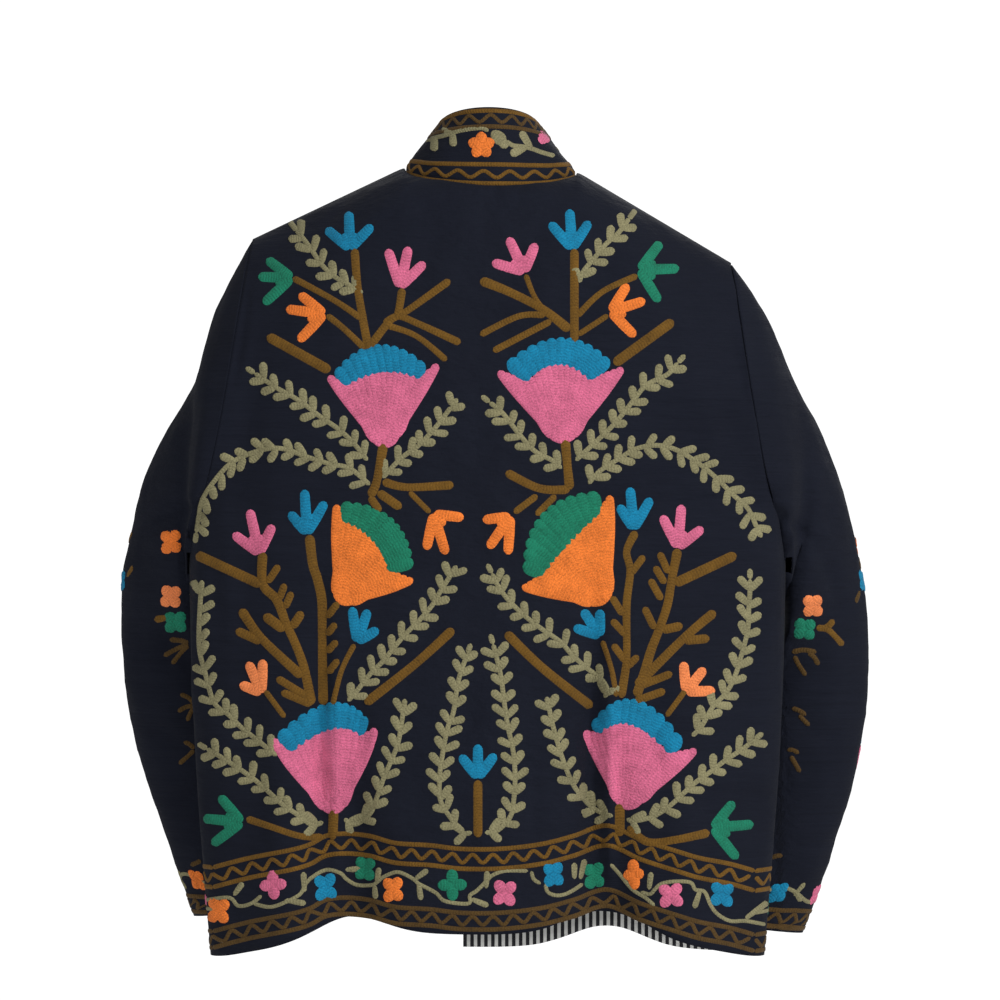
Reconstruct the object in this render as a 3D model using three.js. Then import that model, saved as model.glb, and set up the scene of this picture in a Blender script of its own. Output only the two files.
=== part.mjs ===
// A short, boxy cotton jacket with a stand collar, hanging filled out and empty, unfastened, with the
// right front lapped over the left. Cut pieces: one back, two fronts, two one-piece sleeves, a collar
// and the strip of lining that shows inside the right front's hem. Each is a thin wall of cloth.
//
// Millimetres. +Z is up and the origin lies between the shoulders, level with the neck points, where
// the wearer holds the jacket up. The back of the jacket faces -Y, the fronts +Y, and +X is the
// wearer's right. "face" is -1 on the back and +1 on the fronts; "side" is +1 right, -1 left.

import * as THREE from "three";

// ---- Cloth and seams ----
const CLOTH = 2.0; // shell cloth, lining and the stitching between them
const LINING = 1.0;
const LINING_CLEARANCE = 0.4; // between a panel and what lies on its inside
const PANEL_RETREAT = 0.2; // each panel's edge stands this far back from its seams
const SET_IN_RETREAT = 0.45; // the same for the sleeves and the collar, which meet them at an angle
const LAP = 6; // how far the left front lies inside the right one

// ---- Neck and collar ----
const NECK_POINT = {
  left: { x: -73, z: 12 },
  right: { x: 79, z: 8 },
};
const BACK_NECK = { depth: 62, drop: 17 };
const FRONT_NECK = { depth: 72, drop: 84, edgeAngle: 1.23 };
const COLLAR = {
  sideHalf: 43, // half width of the top edge
  sideForward: 16, // how far the top edge leans forward at the side
  sideHeight: 51,
  backDepth: 52,
  backHeight: 61,
  frontDepth: 80,
  frontHeight: -16,
  centre: 1, // the top edge sits a little to the right
  bulge: 4, // at the back and the front
};

// ---- Shoulders, armholes and side seams ----
const SHOULDER_TIP = {
  left: { x: -206, z: -51 },
  right: { x: 214, z: -72 },
};
const UNDERARM_V = 0.61; // share of a panel's height at which the side seam ends
const UNDERARM_Z = -308;
const UNDERARM_HALF = 262;
const SIDE_HEM_Z = -679;
const ARMHOLE_DEPTH = 60; // half the armhole's width, front to back
const ARMHOLE_SCOOP = 10;
const SHOULDER_ROLL_V = 0.74; // above this the panels curve over to the shoulder seam
const NECK_SPREAD = 55; // how far from the neck point they curve over later and more sharply

// Level of the body, from the hem, v = 0, to the shoulder, v = 1: half width of the side seam, depth of
// the back and of the fronts from the side seams' plane, and how square the section is.
const BODY_LEVELS = [
  { v: 0.0, half: 243, back: 72, front: 66, square: 2.0 },
  { v: 0.12, half: 249, back: 71, front: 66, square: 2.05 },
  { v: 0.25, half: 255, back: 71, front: 67, square: 2.15 },
  { v: 0.42, half: 260, back: 74, front: 70, square: 2.3 },
  { v: 0.61, half: 262, back: 79, front: 74, square: 2.6 },
  { v: 0.8, half: 262, back: 83, front: 76, square: 3.3 },
  { v: 1.0, half: 262, back: 84, front: 74, square: 3.6 },
];

// ---- Hems ----
// A level, how much lower it hangs towards the side seam, and the places where a flute lifts it.
const HEMS = {
  back: {
    z: -654,
    side: 25,
    lifts: [
      { x: -118, by: 17, width: 38 },
      { x: 103, by: 26, width: 40 },
    ],
  },
  right: {
    z: -679,
    side: 0,
    lifts: [{ x: 106, by: 24, width: 38 }],
  },
  left: {
    z: -656,
    side: 20,
    lifts: [{ x: -112, by: 20, width: 42 }],
  },
};

// ---- Folds of the body ----
// Each runs down the cloth from (xTop, zTop), where it starts, to (xLow, zLow), where it is deepest.
// A positive depth is a trough, a negative one a ridge.
const BACK_FOLDS = [
  { xTop: -146, zTop: -390, xLow: -117, zLow: -650, depth: 26, width: 25 },
  { xTop: 100, zTop: -350, xLow: 104, zLow: -640, depth: 32, width: 22 },
  { xTop: -15, zTop: -360, xLow: 0, zLow: -650, depth: -9, width: 62 },
  { xTop: -205, zTop: -380, xLow: -178, zLow: -660, depth: -13, width: 34 },
  { xTop: 190, zTop: -360, xLow: 172, zLow: -660, depth: -15, width: 36 },
  { xTop: -196, zTop: -60, xLow: -208, zLow: -200, depth: 7, width: 13 },
];
const FRONT_FOLDS = [
  { xTop: 110, zTop: -330, xLow: 106, zLow: -650, depth: 24, width: 26 },
  { xTop: -120, zTop: -350, xLow: -108, zLow: -650, depth: 20, width: 28 },
  { xTop: 180, zTop: -380, xLow: 172, zLow: -660, depth: -9, width: 34 },
  { xTop: -190, zTop: -380, xLow: -172, zLow: -660, depth: -9, width: 34 },
  { xTop: 60, zTop: -200, xLow: 48, zLow: -640, depth: -5, width: 34 },
  { xTop: -62, zTop: -200, xLow: -52, zLow: -640, depth: -5, width: 34 },
];

// ---- Front edges ----
const FRONT_EDGE = { rightHem: -22, leftHem: 20 }; // x at the hem; each meets its own neck point above

// ---- Sleeves ----
// From the armhole, t = 0, to the cuff, t = 1: the outer and inner edges as seen from behind, how far
// forward the middle lies, and half the sleeve's thickness there. x counts outwards.
const SLEEVES = {
  right: [
    { t: 0.0, outX: 214, outZ: -72, inX: 262, inZ: -308, forward: 0, half: 60 },
    { t: 0.1, outX: 246, outZ: -119, inX: 268, inZ: -322, forward: 9, half: 58 },
    { t: 0.2, outX: 270, outZ: -168, inX: 268, inZ: -347, forward: 24, half: 55 },
    { t: 0.3, outX: 297, outZ: -222, inX: 263, inZ: -380, forward: 42, half: 52 },
    { t: 0.4, outX: 320, outZ: -280, inX: 254, inZ: -416, forward: 56, half: 49 },
    { t: 0.5, outX: 334, outZ: -340, inX: 241, inZ: -453, forward: 68, half: 46 },
    { t: 0.6, outX: 341, outZ: -402, inX: 227, inZ: -489, forward: 77, half: 43 },
    { t: 0.7, outX: 340, outZ: -466, inX: 214, inZ: -526, forward: 83, half: 40 },
    { t: 0.8, outX: 329, outZ: -532, inX: 204, inZ: -565, forward: 86, half: 37 },
    { t: 0.9, outX: 308, outZ: -600, inX: 194, inZ: -609, forward: 87, half: 34 },
    { t: 1.0, outX: 283, outZ: -668, inX: 183, inZ: -655, forward: 88, half: 32 },
  ],
  left: [
    { t: 0.0, outX: 206, outZ: -51, inX: 262, inZ: -308, forward: 0, half: 60 },
    { t: 0.1, outX: 233, outZ: -98, inX: 268, inZ: -322, forward: 9, half: 58 },
    { t: 0.2, outX: 252, outZ: -150, inX: 268, inZ: -347, forward: 24, half: 55 },
    { t: 0.25, outX: 259, outZ: -182, inX: 266, inZ: -363, forward: 33, half: 53.5 },
    { t: 0.3, outX: 279, outZ: -204, inX: 263, inZ: -380, forward: 42, half: 52 },
    { t: 0.4, outX: 305, outZ: -260, inX: 254, inZ: -414, forward: 56, half: 49 },
    { t: 0.5, outX: 322, outZ: -324, inX: 239, inZ: -449, forward: 68, half: 46 },
    { t: 0.6, outX: 328, outZ: -391, inX: 222, inZ: -484, forward: 77, half: 43 },
    { t: 0.7, outX: 324, outZ: -457, inX: 206, inZ: -520, forward: 83, half: 40 },
    { t: 0.8, outX: 309, outZ: -522, inX: 193, inZ: -558, forward: 86, half: 37 },
    { t: 0.9, outX: 287, outZ: -588, inX: 179, inZ: -600, forward: 87, half: 34 },
    { t: 1.0, outX: 264, outZ: -653, inX: 164, inZ: -641, forward: 88, half: 32 },
  ],
};

// Creases across a sleeve: where along it, round it (turns from its outer edge by the back), how deep,
// how far it reaches each way, and how much it slants.
const SLEEVE_CREASES = {
  right: [
    { t: 0.3, turn: 0.34, depth: 13, reach: 0.16, width: 0.05, slant: 0.35 },
    { t: 0.52, turn: 0.3, depth: 9, reach: 0.15, width: 0.055, slant: -0.3 },
    { t: 0.45, turn: 0.72, depth: 9, reach: 0.15, width: 0.06, slant: 0.2 },
  ],
  left: [
    { t: 0.3, turn: 0.36, depth: 10, reach: 0.16, width: 0.05, slant: 0.35 },
    { t: 0.55, turn: 0.28, depth: 9, reach: 0.15, width: 0.055, slant: -0.3 },
    { t: 0.45, turn: 0.7, depth: 9, reach: 0.15, width: 0.06, slant: 0.2 },
  ],
};

// ---- How finely each piece is divided ----
const ROWS_BELOW = 13; // hem to underarm
const ROWS_ABOVE = 12; // underarm to shoulder; the sleeve has twice as many round it
const BACK_COLUMNS = 19; // centre to side
const BACK_NECK_COLUMNS = 7;
const FRONT_COLUMNS = 18; // front edge to side; as many along the shoulder seam as the back has
const FRONT_NECK_COLUMNS = 6;
const SLEEVE_RINGS = 24;
const COLLAR_ROWS = 4;
const LINING_ROWS = 3;

const SHELL_COLOUR = 0x15182a;
const COLLAR_COLOUR = 0x1b1a24;
const LINING_COLOUR = 0x9a9a9a;

// ---- Small tools ----
const { lerp, clamp, smoothstep } = THREE.MathUtils;
const bell = (distance) => Math.exp(-distance * distance);

// The value of a table's column at a place along its key column, by a smooth curve through the rows.
function along(table, key, column, at) {
  let row = 0;
  while (row < table.length - 2 && at > table[row + 1][key]) row += 1;
  const slope = (i) => {
    const before = table[Math.max(i - 1, 0)];
    const after = table[Math.min(i + 1, table.length - 1)];
    return (after[column] - before[column]) / (after[key] - before[key]);
  };
  const span = table[row + 1][key] - table[row][key];
  const s = (at - table[row][key]) / span;
  const start = (1 + 2 * s) * (1 - s) ** 2 * table[row][column];
  const end = s * s * (3 - 2 * s) * table[row + 1][column];
  const leave = s * (1 - s) ** 2 * span * slope(row);
  const arrive = s * s * (s - 1) * span * slope(row + 1);
  return start + end + leave + arrive;
}

const sideName = (side) => (side < 0 ? "left" : "right");

// ---- The body ----
// Rows are even below the underarm and crowd towards the underarm and the shoulder above it.
function rowLevels() {
  const levels = [];
  for (let j = 0; j <= ROWS_BELOW; j += 1) levels.push((UNDERARM_V * j) / ROWS_BELOW);
  for (let j = 1; j <= ROWS_ABOVE; j += 1) {
    const share = (1 - Math.cos((Math.PI * j) / ROWS_ABOVE)) / 2;
    levels.push(lerp(UNDERARM_V, 1, share));
  }
  return levels;
}

// Half width of the body at its edge: the side seam below the underarm, the armhole above it.
function edgeHalf(side, v) {
  if (v <= UNDERARM_V) return along(BODY_LEVELS, "v", "half", v);
  const up = (v - UNDERARM_V) / (1 - UNDERARM_V);
  const tip = Math.abs(SHOULDER_TIP[sideName(side)].x);
  return lerp(UNDERARM_HALF, tip, up) - ARMHOLE_SCOOP * Math.sin(Math.PI * up ** 0.55);
}

function edgeHeight(side, v) {
  if (v <= UNDERARM_V) return lerp(SIDE_HEM_Z, UNDERARM_Z, v / UNDERARM_V);
  return lerp(UNDERARM_Z, SHOULDER_TIP[sideName(side)].z, (v - UNDERARM_V) / (1 - UNDERARM_V));
}

// How deep the armhole stands from the side seams' plane: nothing at the underarm.
function armholeDepth(v) {
  const up = clamp((v - UNDERARM_V) / (1 - UNDERARM_V) / 0.5, 0, 1);
  return ARMHOLE_DEPTH * Math.sqrt(1 - (1 - up) ** 2);
}

function hemHeight(hem, x) {
  const share = Math.min(Math.abs(x) / BODY_LEVELS[0].half, 1);
  let z = hem.z - hem.side * share ** 3;
  for (const lift of hem.lifts) z += lift.by * bell((x - lift.x) / lift.width);
  return lerp(z, SIDE_HEM_Z, share ** 6);
}

// Depth of the folds at a place on the body, towards the inside.
function foldDepth(folds, x, z) {
  let depth = 0;
  for (const fold of folds) {
    const down = clamp((fold.zTop - z) / (fold.zTop - fold.zLow), 0, 1.2);
    const middle = lerp(fold.xTop, fold.xLow, down);
    depth += fold.depth * smoothstep(down, 0, 1) * bell((x - middle) / fold.width);
  }
  return depth;
}

// A column's end at the top of a panel, on the neckline or the shoulder seam.
function topEnd(face, side, column) {
  const columns = face < 0 ? BACK_COLUMNS : FRONT_COLUMNS;
  const neckColumns = face < 0 ? BACK_NECK_COLUMNS : FRONT_NECK_COLUMNS;
  const tip = SHOULDER_TIP[sideName(side)];
  const point = NECK_POINT[sideName(side)];
  const half = Math.abs(point.x);
  if (column >= neckColumns) {
    const out = (column - neckColumns) / (columns - neckColumns);
    return { x: lerp(half, Math.abs(tip.x), out), y: 0, z: lerp(point.z, tip.z, out) };
  }
  const neck = face < 0 ? BACK_NECK : FRONT_NECK;
  const whole = face < 0 ? Math.PI / 2 : FRONT_NECK.edgeAngle;
  const angle = whole * (1 - column / neckColumns);
  const round = Math.sin(angle);
  const middle = (NECK_POINT.left.z + NECK_POINT.right.z) / 2;
  return {
    x: half * Math.cos(angle),
    y: face * neck.depth * round,
    z: lerp(middle, point.z, Math.cos(angle)) - neck.drop * round ** (face < 0 ? 1 : 1.6),
  };
}

// x of a front's free edge, counted outwards from the centre on its own side.
function frontEdge(side, v) {
  const atHem = side > 0 ? FRONT_EDGE.rightHem : -FRONT_EDGE.leftHem;
  const atNeck = Math.abs(NECK_POINT[sideName(side)].x) * Math.cos(FRONT_NECK.edgeAngle);
  return lerp(atHem, atNeck, smoothstep(v, 0.25, 1.0));
}

// A point on the outside of a body panel: column 0 is the centre back or the front edge.
function bodyPoint(face, side, column, v) {
  const columns = face < 0 ? BACK_COLUMNS : FRONT_COLUMNS;
  const top = topEnd(face, side, column);
  const half = edgeHalf(side, v);
  const inner = face < 0 ? 0 : frontEdge(side, v);
  const topInner = face < 0 ? 0 : topEnd(face, side, 0).x;
  const tipX = Math.abs(SHOULDER_TIP[sideName(side)].x);
  const low = Math.sin(((column / columns) * Math.PI) / 2);
  const high = (top.x - topInner) / (tipX - topInner);
  const out = inner + (half - inner) * lerp(low, high, smoothstep(v, 0.3, 1));
  const x = side * out;
  const share = Math.min(Math.abs(out) / half, 1);

  const hem = face < 0 ? HEMS.back : HEMS[sideName(side)];
  const straight = lerp(hemHeight(hem, side * share * BODY_LEVELS[0].half), top.z, v);
  const edgeStraight = lerp(SIDE_HEM_Z, SHOULDER_TIP[sideName(side)].z, v);
  const z = straight + (edgeHeight(side, v) - edgeStraight) * share ** 4;

  const square = along(BODY_LEVELS, "v", "square", v);
  const middle = along(BODY_LEVELS, "v", face < 0 ? "back" : "front", v);
  let depth = Math.hypot(middle * (1 - share ** square) ** (1 / square), armholeDepth(v) * share ** 8);
  const folds = face < 0 ? BACK_FOLDS : FRONT_FOLDS;
  depth -= foldDepth(folds, x, z) * (1 - share ** 6);
  if (face > 0) depth += side * LAP * 0.5 * bell(out / 70) * smoothstep(1 - v, 0.1, 0.6);

  const up = clamp((v - SHOULDER_ROLL_V) / (1 - SHOULDER_ROLL_V), 0, 1);
  const fromNeck = (out - Math.abs(NECK_POINT[sideName(side)].x)) / NECK_SPREAD;
  const roll = Math.sqrt(1 - up ** (2 + 4 * bell(fromNeck)));
  return new THREE.Vector3(x, lerp(top.y, face * depth, roll), z);
}

function backGrid() {
  return rowLevels().map((v) => {
    const row = [];
    for (let i = -BACK_COLUMNS; i <= BACK_COLUMNS; i += 1) {
      row.push(bodyPoint(-1, i < 0 ? -1 : 1, Math.abs(i), v));
    }
    return row;
  });
}

function frontGrid(side) {
  return rowLevels().map((v) => {
    const row = [];
    for (let i = 0; i <= FRONT_COLUMNS; i += 1) row.push(bodyPoint(1, side, i, v));
    return row;
  });
}

// ---- Sleeves ----
// The armhole as a ring of points from the shoulder tip, down the back, and up the front.
function armholeRing(side) {
  const levels = rowLevels().slice(ROWS_BELOW);
  const back = levels.map((v) => bodyPoint(-1, side, BACK_COLUMNS, v)).reverse();
  const front = levels.map((v) => bodyPoint(1, side, FRONT_COLUMNS, v));
  return [...back, ...front.slice(1, -1)];
}

function creaseDepth(creases, t, turn) {
  let depth = 0;
  for (const crease of creases) {
    const round = turn - crease.turn;
    const across = (t - crease.t - crease.slant * round) / crease.width;
    depth += crease.depth * bell(across) * bell(round / crease.reach);
  }
  return depth;
}

// The sleeve's own section, a flat oval between its outer and inner edges.
function sleevePoint(side, t, turn) {
  const name = sideName(side);
  const at = (column) => along(SLEEVES[name], "t", column, t);
  const angle = turn * 2 * Math.PI;
  const outer = new THREE.Vector2(at("outX"), at("outZ"));
  const inner = new THREE.Vector2(at("inX"), at("inZ"));
  const middle = outer.clone().add(inner).multiplyScalar(0.5);
  const reach = outer.clone().sub(middle);
  const shrink = 1 - creaseDepth(SLEEVE_CREASES[name], t, turn) / at("half");
  const place = middle.addScaledVector(reach, Math.cos(angle) * lerp(1, shrink, 0.3));
  const y = at("forward") - at("half") * Math.sin(angle) * shrink;
  return new THREE.Vector3(side * place.x, y, place.y);
}

function sleeveGrid(side) {
  const ring = armholeRing(side);
  const grid = [ring];
  for (let k = 1; k <= SLEEVE_RINGS; k += 1) {
    const t = k / SLEEVE_RINGS;
    const fade = (1 - smoothstep(t, 0, 0.3)) ** 1.5;
    const row = ring.map((point, j) => {
      const turn = j / ring.length;
      const off = point.clone().sub(sleevePoint(side, 0, turn));
      return sleevePoint(side, t, turn).addScaledVector(off, fade);
    });
    grid.push(row);
  }
  return grid;
}

// ---- Collar ----
// The neckline from the left front edge, round the back, to the right front edge.
function neckline() {
  const front = (side) => {
    const half = [];
    for (let i = 0; i <= FRONT_NECK_COLUMNS; i += 1) half.push(bodyPoint(1, side, i, 1));
    return half;
  };
  const back = [];
  for (let i = -BACK_NECK_COLUMNS; i <= BACK_NECK_COLUMNS; i += 1) {
    back.push(bodyPoint(-1, i < 0 ? -1 : 1, Math.abs(i), 1));
  }
  return [...front(-1), ...back.slice(1, -1), ...front(1).reverse()];
}

// The collar's top edge above a point of the neckline.
function collarTop(point) {
  const side = Math.sign(point.x) || 1;
  const back = point.y < 0;
  const round = clamp(Math.abs(point.y) / (back ? BACK_NECK.depth : FRONT_NECK.depth), 0, 1);
  const flat = Math.abs(point.x / NECK_POINT[sideName(side)].x);
  const toY = back ? -COLLAR.backDepth : COLLAR.frontDepth;
  const toZ = back ? COLLAR.backHeight : COLLAR.frontHeight;
  return new THREE.Vector3(
    side * COLLAR.sideHalf * flat + COLLAR.centre * (back ? 1 : 1 - round),
    lerp(COLLAR.sideForward, toY, round),
    lerp(COLLAR.sideHeight, toZ, back ? round : round ** 1.5),
  );
}

function collarGrid() {
  const seam = neckline();
  const grid = [];
  for (let j = 0; j <= COLLAR_ROWS; j += 1) {
    const up = j / COLLAR_ROWS;
    const row = seam.map((point) => {
      const top = collarTop(point);
      const bulge = Math.sign(point.y) * COLLAR.bulge * Math.abs(point.y / FRONT_NECK.depth);
      return point.clone().lerp(top, up).add(new THREE.Vector3(0, bulge * Math.sin(Math.PI * up), 0));
    });
    grid.push(row);
  }
  return grid;
}

// ---- From a grid of outside points to a wall of cloth ----
// The normal of each grid point, by its neighbours; "out" turns it to the cloth's outside.
function gridNormals(grid, closed, out) {
  return grid.map((row, j) =>
    row.map((point, i) => {
      const next = closed ? row[(i + 1) % row.length] : row[Math.min(i + 1, row.length - 1)];
      const last = closed ? row.at(i - 1) : row[Math.max(i - 1, 0)];
      const above = grid[Math.min(j + 1, grid.length - 1)][i];
      const below = grid[Math.max(j - 1, 0)][i];
      const across = next.clone().sub(last);
      const upward = above.clone().sub(below);
      return across.cross(upward).multiplyScalar(out).normalize();
    }),
  );
}

// Pieces that meet at a seam share its normals there, so that their edges stand square to each other.
function shareSeamNormals(pieces) {
  const seams = new Map();
  const keyOf = (point) => point.toArray().map((c) => Math.round(c * 1000)).join();
  for (const piece of pieces) {
    piece.grid.forEach((row, j) =>
      row.forEach((point, i) => {
        const key = keyOf(point);
        if (!seams.has(key)) seams.set(key, []);
        seams.get(key).push(piece.normals[j][i].clone());
      }),
    );
  }
  for (const piece of pieces) {
    piece.normals = piece.normals.map((row, j) =>
      row.map((own, i) => {
        const sum = new THREE.Vector3();
        for (const normal of seams.get(keyOf(piece.grid[j][i]))) {
          if (normal.dot(own) > 0.2) sum.add(normal);
        }
        return sum.normalize();
      }),
    );
  }
}

// Moves a piece's edges back from the seams, each point towards its neighbour inside the piece.
function openSeams(piece) {
  const { grid, closed } = piece;
  const last = grid.length - 1;
  const towards = (from, to) => to.clone().sub(from).setLength(piece.retreat);
  const moves = [];
  grid.forEach((row, j) =>
    row.forEach((point, i) => {
      if (j === 0) moves.push([point, towards(point, grid[1][i])]);
      if (j === last) moves.push([point, towards(point, grid[last - 1][i])]);
      if (!closed && i === 0) moves.push([point, towards(point, row[1])]);
      if (!closed && i === row.length - 1) moves.push([point, towards(point, row.at(-2))]);
    }),
  );
  for (const [point, move] of moves) point.add(move);
}

// A closed wall: the grid's points moved in by "under", and again by that and the thickness.
function wall(piece, thickness, under = 0) {
  const { grid, normals, closed } = piece;
  const rows = grid.length;
  const columns = grid[0].length;
  const positions = [];
  for (const depth of [under, under + thickness]) {
    grid.forEach((row, j) =>
      row.forEach((point, i) => {
        positions.push(...point.clone().addScaledVector(normals[j][i], -depth).toArray());
      }),
    );
  }
  const at = (layer, j, i) => layer * rows * columns + j * columns + (i % columns);
  const index = [];
  const quad = (a, b, c, d) => index.push(a, b, c, a, c, d);
  const spans = closed ? columns : columns - 1;
  for (let j = 0; j < rows - 1; j += 1) {
    for (let i = 0; i < spans; i += 1) {
      quad(at(0, j, i), at(0, j, i + 1), at(0, j + 1, i + 1), at(0, j + 1, i));
      quad(at(1, j, i), at(1, j + 1, i), at(1, j + 1, i + 1), at(1, j, i + 1));
    }
  }
  for (let i = 0; i < spans; i += 1) {
    quad(at(0, 0, i + 1), at(0, 0, i), at(1, 0, i), at(1, 0, i + 1));
    quad(at(0, rows - 1, i), at(0, rows - 1, i + 1), at(1, rows - 1, i + 1), at(1, rows - 1, i));
  }
  if (!closed) {
    for (let j = 0; j < rows - 1; j += 1) {
      quad(at(0, j, 0), at(0, j + 1, 0), at(1, j + 1, 0), at(1, j, 0));
      const end = columns - 1;
      quad(at(0, j + 1, end), at(0, j, end), at(1, j, end), at(1, j + 1, end));
    }
  }
  if (piece.out < 0) index.reverse();
  const geometry = new THREE.BufferGeometry();
  geometry.setAttribute("position", new THREE.Float32BufferAttribute(positions, 3));
  geometry.setIndex(index);
  geometry.computeVertexNormals();
  return geometry;
}

// ---- The pieces ----
const cloth = (colour) => new THREE.MeshStandardMaterial({ color: colour, roughness: 0.92, metalness: 0 });

const panel = { closed: false, retreat: PANEL_RETREAT, colour: SHELL_COLOUR };
const sleeve = { closed: true, retreat: SET_IN_RETREAT, colour: SHELL_COLOUR };
const pieces = [
  { ...panel, name: "back", grid: backGrid(), out: 1 },
  { ...panel, name: "front_right", grid: frontGrid(1), out: -1 },
  { ...panel, name: "front_left", grid: frontGrid(-1), out: 1 },
  { ...sleeve, name: "sleeve_right", grid: sleeveGrid(1), out: 1 },
  { ...sleeve, name: "sleeve_left", grid: sleeveGrid(-1), out: -1 },
  { name: "collar", grid: collarGrid(), closed: false, out: 1, retreat: SET_IN_RETREAT, colour: COLLAR_COLOUR },
];
for (const piece of pieces) piece.normals = gridNormals(piece.grid, piece.closed, piece.out);
shareSeamNormals(pieces);
for (const piece of pieces) openSeams(piece);

const jacket = new THREE.Group();
jacket.name = "jacket";
for (const piece of pieces) {
  const mesh = new THREE.Mesh(wall(piece, CLOTH), cloth(piece.colour));
  mesh.name = piece.name;
  jacket.add(mesh);
}

// The lining lies inside the right front's hem, from its own side seam to just short of the front edge.
const rightFront = pieces[1];
const liningPart = (grid) => grid.slice(0, LINING_ROWS + 1).map((row) => row.slice(0, -1));
const lining = {
  grid: liningPart(rightFront.grid),
  normals: liningPart(rightFront.normals),
  closed: false,
  out: rightFront.out,
};
const liningMesh = new THREE.Mesh(wall(lining, LINING, CLOTH + LINING_CLEARANCE), cloth(LINING_COLOUR));
liningMesh.name = "lining_front_right";
jacket.add(liningMesh);

export default jacket;
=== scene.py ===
import bisect
import math
import random
import bmesh
import bpy
from mathutils import Matrix, Vector, noise
from mathutils.bvhtree import BVHTree


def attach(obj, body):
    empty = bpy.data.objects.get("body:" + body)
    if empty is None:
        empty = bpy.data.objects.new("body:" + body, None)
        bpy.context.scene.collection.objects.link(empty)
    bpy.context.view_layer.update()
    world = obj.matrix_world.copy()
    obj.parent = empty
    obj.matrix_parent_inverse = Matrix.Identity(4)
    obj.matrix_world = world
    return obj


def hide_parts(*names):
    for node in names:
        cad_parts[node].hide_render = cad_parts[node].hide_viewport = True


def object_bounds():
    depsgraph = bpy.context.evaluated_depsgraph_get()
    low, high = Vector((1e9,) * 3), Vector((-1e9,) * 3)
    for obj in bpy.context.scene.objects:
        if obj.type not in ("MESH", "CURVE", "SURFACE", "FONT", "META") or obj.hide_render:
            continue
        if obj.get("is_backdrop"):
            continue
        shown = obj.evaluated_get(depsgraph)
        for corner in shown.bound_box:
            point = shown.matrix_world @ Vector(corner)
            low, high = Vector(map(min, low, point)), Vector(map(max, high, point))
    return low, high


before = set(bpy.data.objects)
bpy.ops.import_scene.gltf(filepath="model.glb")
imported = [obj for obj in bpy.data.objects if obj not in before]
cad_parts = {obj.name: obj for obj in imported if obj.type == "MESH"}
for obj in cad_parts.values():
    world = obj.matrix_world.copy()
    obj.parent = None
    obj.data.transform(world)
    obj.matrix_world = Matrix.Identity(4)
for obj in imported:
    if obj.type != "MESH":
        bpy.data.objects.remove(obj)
cad_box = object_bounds()
scene = bpy.context.scene
scene.view_settings.view_transform = "Standard"

# ---- Camera ----
# The jacket is seen from behind, level with its middle, from 4 m away with a long lens.
EYE = Vector((0.011, -4.0, -0.28))
SENSOR = 36
LENS = 164.1
camera = bpy.data.objects.new("camera", bpy.data.cameras.new("camera"))
camera.location = EYE
camera.rotation_euler = (math.radians(90), 0, 0)
camera.data.sensor_width = SENSOR
camera.data.lens = LENS
scene.collection.objects.link(camera)
scene.camera = camera

# ---- Floor and light ----
# A wide pale floor lies far below the hem, because the jacket hangs in the air with nothing under
# it. The main lamp is a large soft one, high on the right behind the camera.
FLOOR_HEIGHT = -1.45
FLOOR_RADIUS = 6
FLOOR_PALE = (0.86, 0.86, 0.86)
FLOOR_DULL = (0.8, 0.8, 0.8)
AIM = Vector((0, 0, -0.3))
LAMPS = (  # name, place, size and power
    ("key", (2.8, -2.9, 1.8), 1.1, 155),
    ("fill", (-3.0, -3.2, 0.6), 2.4, 45),
    ("front", (0.6, 3.6, 1.2), 2.4, 60),
)
GLOW = 0.33
BACKDROP = 1.1


class Wire:
    """A shader socket. Arithmetic on it adds the Math node that does the same sum."""

    def __init__(self, tree, socket=None):
        self.tree = tree
        self.socket = socket

    def node(self, kind, settings=None, feeds=None, out=0):
        """Adds one node: its settings, its inputs as numbers or wires, and the output to go on with."""
        made = self.tree.nodes.new(kind)
        for key, value in (settings or {}).items():
            setattr(made, key, value)
        for key, value in (feeds or {}).items():
            if isinstance(value, Wire):
                self.tree.links.new(value.socket, made.inputs[key])
            else:
                made.inputs[key].default_value = value
        return Wire(self.tree, made.outputs[out])

    def maths(self, operation, first, second=0.0):
        return self.node("ShaderNodeMath", {"operation": operation}, {0: first, 1: second})

    def __add__(self, other):
        return self.maths("ADD", self, other)

    def __radd__(self, other):
        return self.maths("ADD", other, self)

    def __sub__(self, other):
        return self.maths("SUBTRACT", self, other)

    def __rsub__(self, other):
        return self.maths("SUBTRACT", other, self)

    def __mul__(self, other):
        return self.maths("MULTIPLY", self, other)

    def __rmul__(self, other):
        return self.maths("MULTIPLY", other, self)

    def __gt__(self, other):
        return self.maths("GREATER_THAN", self, other)

    def into(self, target):
        """Feeds an input of a shader that stands in the tree already."""
        self.tree.links.new(self.socket, target)


def surface(name, roughness, sheen=0.0):
    """A new material: its Principled shader, and a wire to build from."""
    material = bpy.data.materials.new(name)
    material.use_nodes = True
    shader = material.node_tree.nodes["Principled BSDF"]
    shader.inputs["Roughness"].default_value = roughness
    shader.inputs["Specular IOR Level"].default_value = 0.25
    shader.inputs["Sheen Weight"].default_value = sheen
    shader.inputs["Sheen Roughness"].default_value = 0.5
    return material, shader, Wire(material.node_tree)


def blend(wire, amount, first, second):
    """A colour between two, by an amount from 0 to 1."""
    feeds = {0: amount, 6: (*first, 1) if isinstance(first, tuple) else first}
    feeds[7] = (*second, 1) if isinstance(second, tuple) else second
    return wire.node("ShaderNodeMix", {"data_type": "RGBA"}, feeds, out=2)


paint, shader, wire = surface("floor_paint", 0.8)
place = wire.node("ShaderNodeTexCoord", out="Object")
mottle = wire.node("ShaderNodeTexNoise", {}, {"Vector": place, "Scale": 3.0, "Detail": 4.0})
blend(wire, mottle, FLOOR_DULL, FLOOR_PALE).into(shader.inputs["Base Color"])

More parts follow.
